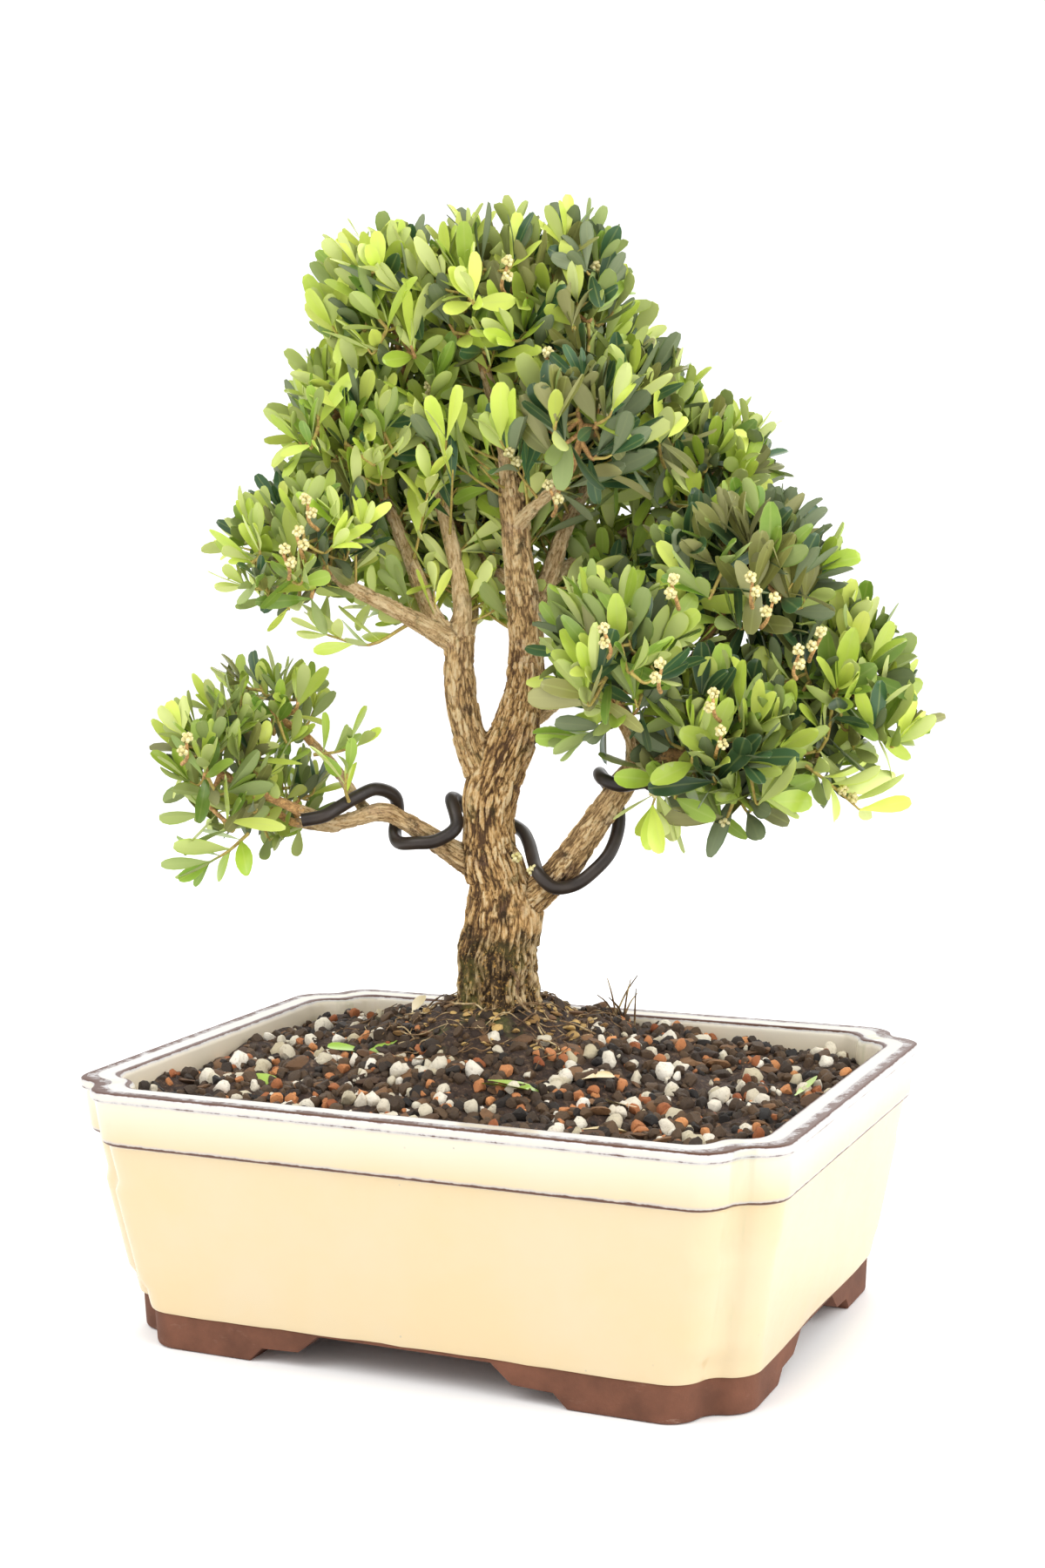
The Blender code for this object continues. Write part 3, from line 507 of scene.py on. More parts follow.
def rounded(stations, steps=4):
    """Rounds the corners of a profile. Each station is (inset, z, radius, edge).

    Inset is from the rim's outer edge on the long and the short side, and edge is how
    sharp the corner is, where the glaze breaks thin over the clay.
    """
    profile = []
    corners = [np.array([*inset_xy, z]) for inset_xy, z, _, _ in stations]
    for i, (_, _, radius, edge) in enumerate(stations):
        here, before, after = corners[i], corners[i - 1], corners[(i + 1) % len(corners)]
        if radius == 0:
            profile.append((*here, edge))
            continue
        start = here + unit(before - here) * min(radius, np.linalg.norm(before - here) * 0.45)
        end = here + unit(after - here) * min(radius, np.linalg.norm(after - here) * 0.45)
        for step in range(steps + 1):
            t = step / steps
            point = (1 - t)**2 * start + 2 * t * (1 - t) * here + t * t * end
            profile.append((*point, edge * (1 - abs(2 * t - 1) * 0.35)))
    return profile


def divided(profile, longest):
    """Adds stations so that none are further apart than this; edges fade along them."""
    fine = []
    for here, after in zip(profile, profile[1:]):
        here, after = np.array(here), np.array(after)
        count = max(1, math.ceil(np.linalg.norm(after[:3] - here[:3]) / longest))
        fine += [here + (after - here) * i / count for i in range(count)]
    return fine + [np.array(profile[-1])]


def edge_fade(profile):
    """How near each station is to a sharp edge: 1 on it, and 0 from 3 mm away."""
    sharp = [(station[:3], station[3]) for station in profile if station[3] > SHARP]
    return [max([0.0] + [edge * (1 - np.linalg.norm(station[:3] - at) / EDGE_FADE)
                         for at, edge in sharp]) for station in profile]


def skin(name, profile, cut_of, joined_up):
    """Lofts the pot's outline through a profile, with the edge and hollow of each point."""
    rings, edges, hollows = [], [], []
    for (inset_x, inset_y, z, _), near in zip(profile, edge_fade(profile)):
        half = (RIM_HALF[0] - inset_x, RIM_HALF[1] - inset_y)
        outline = notched_outline(half, cut_of(z, inset_x))
        rings.append(np.column_stack([outline[:, :2], np.full(len(outline), z)]))
        edges.append(np.full(len(outline), near))
        hollows.append(outline[:, 2])
    obj = new_piece(name, np.vstack(rings), ring_faces(len(rings), len(rings[0]), joined_up))
    put_attribute(obj, "edge", np.concatenate(edges))
    put_attribute(obj, "hollow", np.concatenate(hollows))
    return obj


def wall_profile():
    """The glazed walls, from the glaze's lower edge up, over the rim and down inside."""
    lip_z = POT_HEIGHT - LIP_DEPTH
    band_z = POT_HEIGHT - BAND_DEPTH
    band = LIP_OVERHANG + BAND_TAPER
    foot = from_rim(GLAZE_FOOT_HALF)
    return rounded((
        (inset(foot, -GLAZE_THICK), GLAZE_FOOT_Z + 0.0006, 0, 0.0),
        (foot, GLAZE_FOOT_Z - 0.0006, 0.0007, 0.0),
        (inset(foot, 0.0004), GLAZE_FOOT_Z + 0.0012, 0.001, 0.0),
        (both(band + BAND_STEP), band_z - 0.0012, 0.0012, 0.0),
        (both(band + 0.0004), band_z - 0.0003, 0.0006, 0.82),
        (both(band), band_z + 0.0012, 0.0010, 0.0),
        (both(LIP_OVERHANG + 0.0003), lip_z - 0.0014, 0.0008, 0.0),
        (both(0.0001), lip_z, 0.0007, 0.63),
        (both(0.0), POT_HEIGHT - 0.0006, 0.0009, 0.0),
        (both(0.0011), POT_HEIGHT, 0.0011, 1.0),
        (both(RIM_WIDTH - 0.0009), POT_HEIGHT - 0.0002, 0.0012, 0.86),
        (both(RIM_WIDTH + 0.0004), POT_HEIGHT - 0.0020, 0.001, 0.0),
        (both(RIM_WIDTH + INNER_TAPER), FLOOR_Z, 0, 0.0),
    ))


def foot_profile():
    """The bare clay foot, from the underside inside its ring round to the glaze."""
    foot = from_rim(FOOT_HALF)
    ring = inset(foot, -FOOT_RING_WIDTH)
    return rounded((
        (inset(ring, -0.001), UNDERSIDE_Z, 0, 0.0),
        (ring, 0.0, 0.0008, 0.6),
        (foot, 0.0, 0.0012, 0.7),
        (inset(from_rim(GLAZE_FOOT_HALF), -0.0007), GLAZE_FOOT_Z + 0.0012, 0, 0.0),
    ))


def corner_cut(z, inset_x):
    """The corner is a little smaller on the inside of the wall than on the outside."""
    inner = inset_x > RIM_WIDTH * 0.6 and z > FLOOR_Z - 0.001
    return INNER_CORNER_CUT if inner else POT_CORNER_CUT


def arch_cutter(spans, along_x):
    """A bar whose section is a stepped cloud arch. It runs under the whole pot."""
    table, ledge_out, ledge_in, top = spans
    half = [(table, -0.001), (table, 0.0005), (ledge_out, ARCH_LEDGE_Z),
            (ledge_in, ARCH_LEDGE_Z + 0.0006),
            (ledge_in - ARCH_CURVE, ARCH_LEDGE_Z + ARCH_CURVE), (top, ARCH_TOP_Z)]
    section = half + [(-x, z) for x, z in reversed(half)]
    reach = RIM_HALF[0] + 0.01
    points = [(x, -reach * side, z) for side in (1, -1) for x, z in section]
    count = len(section)
    ends = [tuple(reversed(range(count))), tuple(range(count, 2 * count))]
    cutter = new_piece("arch_cutter", points, ends + ring_faces(2, count))
    if along_x:
        cutter.data.transform(Matrix.Rotation(math.pi / 2, 4, "Z"))
    tidy_normals(cutter)
    return cutter


def stoneware_glaze(settings):
    """Cream glaze on stoneware: glossy, pooling in hollows and breaking brown on edges."""
    paint = Paint("cream_stoneware_glaze")
    cloudy = paint.noise(38, 4, 0.55)
    body = paint.over(settings.glaze_cool, settings.glaze_warm, paint.span(cloudy, 0.35, 0.65))
    # It is thinner and whiter on the rim and the upper half of the band.
    height = paint.node("ShaderNodeSeparateXYZ", {"Vector": paint.place}).outputs["Z"]
    body = paint.over(body, settings.glaze_rim,
                      paint.span(height, POT_HEIGHT - BAND_DEPTH, POT_HEIGHT, 0.0, 0.70))
    # Glaze that has run down gathers greenish in the hollows of the corners.
    streaks = paint.noise(9, 4, 0.6, paint.scaled((1.0, 1.0, 0.16)))
    pooled = paint.times(paint.span(streaks, 0.42, 0.62), paint.attribute("hollow"))
    body = paint.over(body, settings.pool, pooled, 0.38)
    spots = paint.node("ShaderNodeTexVoronoi", {"Vector": paint.place}, {"Scale": 1000 / 9.0},
                       feature="F1").outputs["Distance"]
    dots = paint.span(spots, 0.030, 0.055, 1.0, 0.0)
    shown = paint.span(paint.noise(46, 2, 0.5), 0.52, 0.60)
    body = paint.over(body, settings.speck, paint.times(dots, shown), 0.55)
    # On sharp edges it is thin: a bluish fringe, then bare brown.
    wavy = paint.plus(paint.attribute("edge"), paint.sway(paint.noise(7, 5, 0.65), 0.38))
    wavy = paint.plus(wavy, paint.sway(paint.noise(1.6, 3, 0.6), 0.18))
    bare = paint.span(wavy, 0.58, 0.67)
    body = paint.over(body, settings.fringe, paint.span(wavy, 0.32, 0.58), 0.54)
    body = paint.over(body, settings.edge, bare)
    rough = paint.bump(paint.noise(16, 3, 0.5), 0.5, 0.35)
    rough = paint.bump(wavy, 0.25, 0.25, rough)
    return paint.surface(body, paint.span(bare, 0.0, 1.0, 0.13, 0.42), rough, IOR=1.52)


def unglazed_clay(settings):
    """Bare fired clay: matt, warm brown, with pale scuffs where it is handled."""
    paint = Paint("unglazed_brown_clay")
    cloudy = paint.noise(22, 5, 0.6)
    grain = paint.noise(1.1, 4, 0.7)
    body = paint.over(settings.clay_dark, settings.clay, paint.span(cloudy, 0.35, 0.68))
    body = paint.over(body, settings.clay_dark, paint.span(grain, 0.35, 0.75, 0.0, 0.22))
    scuff = paint.span(paint.noise(5, 5, 0.75, paint.scaled((0.5, 0.5, 1.6))), 0.60, 0.72)
    near_edge = paint.plus(paint.attribute("edge"), paint.times(cloudy, 0.5))
    worn = paint.plus(0.10, paint.times(paint.span(near_edge, 0.45, 0.95), 0.5))
    body = paint.over(body, settings.scuff, paint.times(scuff, worn))
    return paint.surface(body, normal=paint.bump(grain, 0.18, 0.5), Roughness=0.82)


class BonsaiPotSettings(PropertyGroup):
    """Colours of the glazed pot."""

    glaze_warm: tint("Warm glaze", "Thicker, creamier glaze", "#d5bf97")
    glaze_cool: tint("Cool glaze", "Thinner, paler glaze", "#d3c19f")
    glaze_rim: tint("Rim glaze", "Thin whiter glaze of the rim", "#ebe6da")
    pool: tint("Pooled glaze", "Glaze gathered in the corners", "#aeb48f")
    speck: tint("Speck", "Bluish grey iron specks", "#8b8f92")
    fringe: tint("Fringe", "Thin bluish glaze beside an edge", "#a3a8bb")
    edge: tint("Edge", "Clay showing through on sharp edges", "#54301f")
    clay: tint("Clay", "Unglazed foot", "#794b36")
    clay_dark: tint("Dark clay", "Darker patches of the foot", "#5b3624")
    scuff: tint("Scuff", "Pale rubs on the foot", "#b39886")


class BONSAI_OT_pot(Operator):
    """Model the glazed walls and the unglazed foot with its cloud arches"""

    bl_idname = "bonsai.pot"
    bl_label = "Pot"

    def execute(self, context):
        settings = context.scene.bonsai_pot
        walls = skin("pot_glazed_walls", divided(wall_profile(), WALL_STEP), corner_cut, True)
        points = points_of(walls)
        # The glaze ends in a wavy line above the bare foot.
        low = smooth_step(points[:, 2], GLAZE_FOOT_Z + 0.004, GLAZE_FOOT_Z + 0.001)
        low *= points[:, 2] < FLOOR_Z - 0.004
        wave = cloud(points * 28, 3) - 0.5 + 0.4 * (cloud(points * 90, 4) - 0.5)
        points[:, 2] += low * wave * 0.0018
        set_points(walls, points)
        walls.data.transform(Matrix.Translation(POT_MIDDLE))
        tidy_normals(walls)
        shade(walls, 40)
        settle(walls, stoneware_glaze(settings), ("pot",))

        foot = skin("pot_clay_foot", divided(foot_profile(), FOOT_STEP),
                    lambda z, x: POT_CORNER_CUT, False)
        close_ends(foot)
        for spans, along_x in ((LONG_ARCH_SPANS, False), (SHORT_ARCH_SPANS, True)):
            cutter = arch_cutter(spans, along_x)
            modify(foot, "BOOLEAN", operation="DIFFERENCE", solver="EXACT", object=cutter)
            bpy.data.objects.remove(cutter)
        modify(foot, "BEVEL", width=0.0007, segments=2, limit_method="ANGLE",
               angle_limit=math.radians(38))
        foot.data.transform(Matrix.Translation(POT_MIDDLE))
        shade(foot, 35)
        settle(foot, unglazed_clay(settings), ("pot",))
        return {"FINISHED"}


# ---------------------------------------------------------------- soil


def away_from_trunk(x, y):
    return np.hypot(x - TREE_FOOT.x, y - TREE_FOOT.y)


def soil_height(x, y):
    """Height of the soil: mounded to a seat under the trunk, and lumpy away from it."""
    outer = math.hypot(*inner_half(SOIL_EDGE_Z)) * 0.72
    away = away_from_trunk(x, y)
    share = np.clip((away - SOIL_SEAT_RADIUS) / outer, 0, 1)
    seat_z = TREE_FOOT.z - SOIL_GAP
    mound = SOIL_EDGE_Z + (seat_z - SOIL_EDGE_Z) * (1 - share)**SOIL_SHOULDER
    return mound + lump(x, y) * np.clip((away - SOIL_SEAT_RADIUS) / LUMP_FADE, 0, 1)


def lump(x, y):
    """Low lumps and dips, from three waves that cross each other."""
    rise = 0.0
    for number, heading in enumerate(LUMP_HEADINGS):
        along = x * math.cos(heading) + y * math.sin(heading)
        rise = rise + np.sin(FULL_TURN * along / LUMP_SPACING + 2 * number)
    return LUMP_HEIGHT * rise / math.sqrt(len(LUMP_HEADINGS))


def soil_top(x, y):
    """Top of the fine soil, with small crumbs, a little below the tops of its grains."""
    flat = np.stack([x, y, np.zeros_like(x)], axis=1)
    crumbs = (clouds(flat / 0.0045, 3, 5) - 0.5) * 0.0022
    near = smooth_step(away_from_trunk(x, y), 0.016, 0.034)
    return soil_height(x, y) + (crumbs - GRAIN_COVER) * near


def soil_at(x, y):
    """The same at a single place."""
    return float(soil_top(np.array([x]), np.array([y]))[0])


def pot_place(across, back):
    """A place in the tree's frame, in mm, from the pot's middle: (x, y) in metres."""
    x = TREE_FOOT.x + (across * math.cos(TREE_TURN) - back * math.sin(TREE_TURN)) * MM
    y = TREE_FOOT.y + (across * math.sin(TREE_TURN) + back * math.cos(TREE_TURN)) * MM
    return x, y


def soil_up(across, back):
    """Height of the soil in the tree's frame, in mm, at a place in that frame."""
    return (soil_at(*pot_place(across, back)) - TREE_FOOT.z) / MM


def tree_place(x_mm, y_mm):
    """A place beside the pot's middle, in mm, in the tree's frame: (across, back)."""
    x, y = x_mm - TREE_FOOT.x / MM, y_mm - TREE_FOOT.y / MM
    turn_cos, turn_sin = math.cos(TREE_TURN), math.sin(TREE_TURN)
    return x * turn_cos + y * turn_sin, y * turn_cos - x * turn_sin


def inside_pot(x, y, margin):
    """Whether a place on the soil keeps this far from the pot's inner wall."""
    half = inset(inner_half(SOIL_EDGE_Z), margin)
    corner = (half[0] - abs(x)) + (half[1] - abs(y)) > INNER_CORNER_CUT * 0.95
    return abs(x) < half[0] and abs(y) < half[1] and corner


def damp_grit(settings):
    """Damp fine soil between the grains: nearly black, browner and mossy near the trunk."""
    paint = Paint("damp_fine_soil")
    crumbs = paint.noise(2.2, 6, 0.75)
    body = paint.ramp(crumbs, (0.28, settings.black_soil), (0.52, settings.brown_soil),
                      (0.70, settings.dry_soil))
    mossy = paint.times(paint.attribute("near_trunk"),
                        paint.span(paint.noise(17, 4, 0.6), 0.56, 0.66))
    body = paint.over(body, settings.moss, mossy, 0.30)
    return paint.surface(body, normal=paint.bump(crumbs, 1.0, 0.8), Roughness=0.88)


def stone_material(name, low, high, pore, roughness, grain_mm, depth_mm):
    """A rough grain whose colour wanders between two, with darker pores."""
    paint = Paint(name)
    grains = paint.noise(grain_mm, 5, 0.7)
    body = paint.over(linear(low), linear(high), paint.attribute("tone"))
    body = paint.over(body, linear(pore), paint.span(grains, 0.30, 0.46, 1.0, 0.0), 0.6)
    return paint.surface(body, normal=paint.bump(grains, depth_mm, 0.7), Roughness=roughness)


class BonsaiSoilSettings(PropertyGroup):
    """Grit, litter and their colours."""

    dark_grains: amount("Dark grains", "Black and brown grains on the soil", 2250, 2400)
    pumice: amount("Pumice", "White pumice grains on the soil", 300, 500)
    baked_clay: amount("Baked clay", "Orange baked clay grains on the soil", 300, 500)
    bark_chips: amount("Bark chips", "Flat brown chips on the soil", 230, 400)
    ochre_flakes: amount("Ochre flakes", "Small flakes of bark near the trunk", 170, 400)
    black_soil: tint("Black soil", "Wet fine soil", "#1b1512")
    brown_soil: tint("Brown soil", "Damp fine soil", "#3b2a20")
    dry_soil: tint("Dry soil", "Driest crumbs", "#77604a")
    moss: tint("Moss", "Moss beside the trunk", "#6f7d33")
    root: tint("Root", "Darker dry roots", "#7d6040")
    straw: tint("Straw", "Palest dry stalks", "#cdb98c")
    fallen_green: tint("Fallen green", "Freshly fallen leaves", "#8fb446")
    fallen_dry: tint("Fallen dry", "Dried fallen leaves", "#c2ab74")


def chipped_grain(seed, cuts, flat):
    """One irregular grain about one unit across, chipped from a ball by a few planes."""
    points, faces = small_ball(2)
    chance = np.random.default_rng(seed)
    for _ in range(cuts):
        facing = unit(chance.normal(size=3))
        reach = points @ facing
        limit = chance.uniform(0.52, 0.82)
        points = points - np.clip(reach - limit, 0, None)[:, None] * facing
    points *= 1 + 0.16 * (clouds(points * 2.3 + 40, 2, seed) - 0.5)[:, None]
    points *= np.array([1.0, chance.uniform(0.72, 0.95), flat])
    return points / (points.max(0) - points.min(0)).max(), faces


def scatter_grains(name, count, shapes, sizes, seed, where, sink, tilt):
    """Lays grains on the soil at random and joins them into one piece."""
    chance = random.Random(seed)
    half = inner_half(SOIL_EDGE_Z)
    laid = []
    tries = 0
    while len(laid) < count and tries < count * 12:
        tries += 1
        x = chance.uniform(-1, 1) * half[0]
        y = chance.uniform(-1, 1) * half[1]
        size = sizes[0] + (sizes[1] - sizes[0]) * chance.random()**sizes[2]
        if inside_pot(x, y, size * 0.45) and chance.random() <= where(x, y):
            laid.append((x, y, size))
    grains, tones = [], []
    for x, y, size in laid:
        points, faces = shapes[chance.randrange(len(shapes))]
        turn = (Matrix.Rotation(chance.uniform(-tilt, tilt), 3, "X")
                @ Matrix.Rotation(chance.uniform(-tilt, tilt), 3, "Y")
                @ Matrix.Rotation(chance.uniform(0, FULL_TURN), 3, "Z"))
        turned = points @ np.array(turn) * size
        low = turned[:, 2].min()
        lift = soil_at(x, y) - low - (turned[:, 2].max() - low) * chance.uniform(*sink)
        grains.append((turned + [x, y, lift], faces))
        tones.append(np.full(len(points), chance.random()))
    points, faces = merged(grains)
    obj = new_piece(name, points + np.array(POT_MIDDLE), faces)
    put_attribute(obj, "tone", np.concatenate(tones))
    return obj


class BONSAI_OT_soil(Operator):
    """Model the soil surface with its clods, down to the pot's floor"""

    bl_idname = "bonsai.soil"
    bl_label = "Soil"

    def execute(self, context):
        floor_z = FLOOR_Z + SOIL_GAP
        edge, bottom = (
            notched_outline(inset(inner_half(z), SOIL_GAP), INNER_CORNER_CUT, 2, 30)[:, :2]
            for z in (SOIL_EDGE_Z, floor_z))
        seat = np.array([TREE_FOOT.x, TREE_FOOT.y])
        count = len(edge)
        rings = [np.column_stack([bottom, np.full(count, floor_z)])]
        for step in range(SOIL_RINGS + 1):
            at = edge + (seat - edge) * (step / SOIL_RINGS)**0.9 * 0.96
            rings.append(np.column_stack([at, soil_top(at[:, 0], at[:, 1])]))
        points = np.vstack(rings)
        faces = [tuple(reversed(range(count))), *ring_faces(len(rings), count),
                 tuple(range(len(points) - count, len(points)))]
        soil = new_piece("soil_surface", points + np.array(POT_MIDDLE), faces)
        away = away_from_trunk(points[:, 0], points[:, 1])
        put_attribute(soil, "near_trunk", smooth_step(away, 0.062, 0.018))
        shade(soil)
        settle(soil, damp_grit(context.scene.bonsai_soil), ("soil",))
        return {"FINISHED"}


def thin_near_trunk(x, y):
    return float(0.40 + 0.60 * smooth_step(away_from_trunk(x, y), 0.020, 0.052))


def close_to_trunk(x, y):
    return float(smooth_step(away_from_trunk(x, y), 0.048, 0.020))


def open_soil(x, y):
    patch = float(clouds(np.array([[x / 0.021, y / 0.021, 3.0]]), 2, 4)[0])
    return float(smooth_step(away_from_trunk(x, y), 0.026, 0.062)) * (
        0.25 + 0.75 * float(smooth_step(patch, 0.38, 0.58)))


# Shapes of grain: how many, first seed, cuts and flatness.
GRAIN_SHAPES = {"chunk": (6, 0, 7, 0.8), "stone": (6, 20, 9, 0.85), "chip": (5, 40, 6, 0.34)}
# Each kind of grain: setting, piece, shape, sizes from and to and how rare the larger ones
# are, seed, where it lies, share of its height in the soil, degrees of smooth shading, and
# its material: name, two colours, pores, roughness, grain and depth of relief in mm.
GRAINS = (
    ("dark_grains", "dark_grains", "chunk", (0.0020, 0.0068, 1.5), 3, thin_near_trunk,
     (0.30, 0.60), 30, ("scoria_grains", "#17120f", "#5a432b", "#0b0807", 0.72, 0.9, 0.5)),
    ("pumice", "pumice_grains", "stone", (0.0026, 0.0088, 1.4), 8, open_soil,
     (0.20, 0.45), 60, ("pumice", "#bdb090", "#f1eadb", "#8f8672", 0.9, 1.2, 0.9)),
    ("baked_clay", "baked_clay_grains", "chunk", (0.0020, 0.0060, 1.4), 13, open_soil,
     (0.20, 0.50), 35, ("baked_clay_grit", "#8a4a28", "#d3905a", "#5c2f1c", 0.85, 0.8, 0.35)),
    ("ochre_flakes", "ochre_flakes", "chip", (0.0016, 0.0060, 1.5), 34, close_to_trunk,
     (0.1, 0.4), 35, ("fallen_bark_flakes", "#7c5a30", "#d9b672", "#4a3520", 0.9, 1.0, 0.4)),
    ("bark_chips", "bark_chips", "chip", (0.0040, 0.0120, 1.8), 21, thin_near_trunk,
     (0.3, 0.6), 35, ("composted_bark", "#2b1d15", "#84603f", "#1a110c", 0.85, 1.6, 0.5)),
)
CHIP_TILT = 0.5


class BONSAI_OT_grit(Operator):
    """Scatter the grains, chips and pumice over the soil"""

    bl_idname = "bonsai.grit"
    bl_label = "Grit"

    def execute(self, context):
        settings = context.scene.bonsai_soil
        shapes = {kind: [chipped_grain(first + number, cuts, flat) for number in range(count)]
                  for kind, (count, first, cuts, flat) in GRAIN_SHAPES.items()}
        for setting, name, kind, sizes, seed, where, sink, angle, stone in GRAINS:
            tilt = CHIP_TILT if kind == "chip" else math.pi
            grains = scatter_grains(name, getattr(settings, setting), shapes[kind], sizes, seed,
                                    where, sink, tilt)
            shade(grains, angle)
            settle(grains, stone_material(*stone), ("soil",))
        return {"FINISHED"}


# Fallen leaves: place beside the pot's middle in mm, heading in degrees, length, how dry.
FALLEN_LEAVES = (
    (14, -34, 340, 24, 0), (17, -31, 20, 19, 0), (23, -24, 5, 26, 1), (-48, -4, 250, 22, 0),
    (-81, -37, 15, 17, 0), (105, 20, 80, 16, 0), (60, -51, 30, 18, 1), (-61, -8, 200, 16, 0),
    (-29, 30, 300, 18, 1), (-54, 35, 100, 15, 1), (57, -33, 160, 14, 1), (40, -12, 65, 15, 1))
FIBRES = 96
DRY_TUFT = (15, 77)
TUFT_STALKS = 9
# A thin root that curls down the trunk's front, in the tree's frame.
CURLED_ROOT = ((5.5, -17.2, 17), (8, -17.6, 12), (7.5, -18.8, 6.5), (11, -19.6, 2.0),
               (15, -21.0, -0.6), (22, -26.0, -1.6))


def fibre(start, heading, length, chance):
    """A thin dry root or stalk that wanders over the soil, inside the pot's wall."""
    places, lifts = [], []
    place = np.array(start, float)
    for _ in range(5):
        places.append(place)
        lifts.append(chance.uniform(1.4, 3.6))
        heading += chance.uniform(-0.7, 0.7)
        place = place + np.array([math.cos(heading), math.sin(heading)]) * length / 4
    places = np.array(places)
    while not all(inside_pot(*pot_place(*place), 3 * MM) for place in places):
        places *= 0.94
    knots = [(*place, soil_up(*place) + lift) for place, lift in zip(places, lifts)]
    return smooth_route(knots, 3)


def dry_litter():
    """Thin roots and stalks round the trunk, the dry tuft behind it and the curled root."""
    chance = random.Random(61)
    shapes = []
    for _ in range(FIBRES):
        turn, away = chance.uniform(0, FULL_TURN), 17 + 34 * chance.random()**1.3
        start = (away * math.cos(turn), away * math.sin(turn))
        route = fibre(start, chance.uniform(0, FULL_TURN), chance.uniform(8, 30), chance)
        width = 0.18 + 0.36 * chance.random()**2
        shapes.append(twig_shape(route, width, width * 0.6, 5))
    across, back = tree_place(*DRY_TUFT)
    for _ in range(TUFT_STALKS):
        foot = np.array([across + chance.uniform(-5, 5), back + chance.uniform(-3, 3), 0.0])
        foot[2] = soil_up(foot[0], foot[1])
        lean = np.array([chance.uniform(-9, 9), chance.uniform(-4, 4), chance.uniform(9, 19)])
        route = smooth_route([foot, foot + lean * 0.5 + [0, 0, 1.5], foot + lean], 3)
        shapes.append(twig_shape(route, 0.48, 0.20, 5))
    shapes.append(twig_shape(smooth_route(CURLED_ROOT, 4), 0.7, 0.35, 6))
    return shapes


def fallen_leaves():
    chance = random.Random(17)
    leaves = []
    for x, y, heading, length, dry in FALLEN_LEAVES:
        across, back = tree_place(x, y)
        turn = math.radians(heading) - TREE_TURN
        ahead = unit(np.array([math.cos(turn), math.sin(turn), chance.uniform(-0.05, 0.12)]))
        up = across_of(ahead, np.array([chance.uniform(-0.25, 0.25),
                                        chance.uniform(-0.25, 0.25), 1.0]))
        start = np.array([across, back, soil_up(across, back) + 2.6]) - ahead * length / 2
        leaves.append(Leaf(start, ahead, up, length, length * 0.33, dry, chance))
    return leaves


def dry_straw(settings):
    """Dry roots and stalks: matt straw with darker stretches."""
    paint = Paint("dry_straw")
    body = paint.ramp(paint.noise(6, 4, 0.6), (0.38, linear("#4a3624")),
                      (0.50, settings.root), (0.66, settings.straw))
    return paint.surface(body, Roughness=0.9)


class BONSAI_OT_litter(Operator):
    """Drop the fallen leaves and lay the dry roots and stalks"""

    bl_idname = "bonsai.litter"
    bl_label = "Litter"

    def execute(self, context):
        settings = context.scene.bonsai_soil
        dry = joined("dry_roots", dry_litter())
        shade(dry)
        settle(dry, dry_straw(settings))
        for name, kind, colour, paler in (
                ("fallen_green_leaves", 0, settings.fallen_green, linear("#a8c060")),
                ("fallen_dry_leaves", 1, settings.fallen_dry, linear("#d8c79a"))):
            obj = leaf_piece(name, [leaf for leaf in fallen_leaves() if leaf.kind == kind])
            settle(obj, leathery_leaf(name + "_skin", colour, paler, paler, paler))
        return {"FINISHED"}


# ---------------------------------------------------------------- limbs


def across_of(direction, hint):
    """The part of hint that is square to direction, one long."""
    return unit(hint - np.dot(hint, direction) * direction)


def smooth_route(knots, steps):
    """Points on a Catmull-Rom curve through the knots, with this many steps a span."""
    knots = np.array(knots, float)
    ends = np.vstack([2 * knots[0] - knots[1], knots, 2 * knots[-1] - knots[-2]])
    route = []
    for a, b, c, d in zip(ends, ends[1:], ends[2:], ends[3:]):
        for step in range(steps):
            t = step / steps
            route.append(
                0.5 * (2 * b + (c - a) * t + (2 * a - 5 * b + 4 * c - d) * t**2
                       + (3 * b - a - 3 * c + d) * t**3)
            )
    route.append(knots[-1])
    return np.array(route)


class Limb:
    """A tapering limb along a smooth route. Its stations are across, back, up and radius."""

    def __init__(self, name, stations, steps=2):
        self.name = name
        self.stations = stations
        smooth = smooth_route(stations, steps)
        self.points = smooth[:, :3]
        self.radii = smooth[:, 3]

    @property
    def tip(self):
        return self.points[-1]

    @property
    def heading(self):
        return unit(self.points[-1] - self.points[-2])

    def at(self, share):
        """Point, direction and radius at a share of the limb's length."""
        place = share * (len(self.points) - 1)
        i = min(int(place), len(self.points) - 2)
        part = place - i
        point = self.points[i] * (1 - part) + self.points[i + 1] * part
        radius = self.radii[i] * (1 - part) + self.radii[i + 1] * part
        return point, unit(self.points[i + 1] - self.points[i]), radius


class Mass:
    """A mass of foliage: the limb that bears it, the ellipsoid that it keeps to and what
    its leaves are like beside the usual."""

    def __init__(self, name, bearer, middle, half, seed, ages, budded=0.04, scale=1.0,
                 fullness=1.0):
        self.name = name
        self.bearer = bearer
        self.middle = np.array(middle, float)
        self.half = np.array(half, float)
        self.seed = seed
        self.ages = ages
        self.budded = budded
        self.scale = scale
        self.fullness = fullness


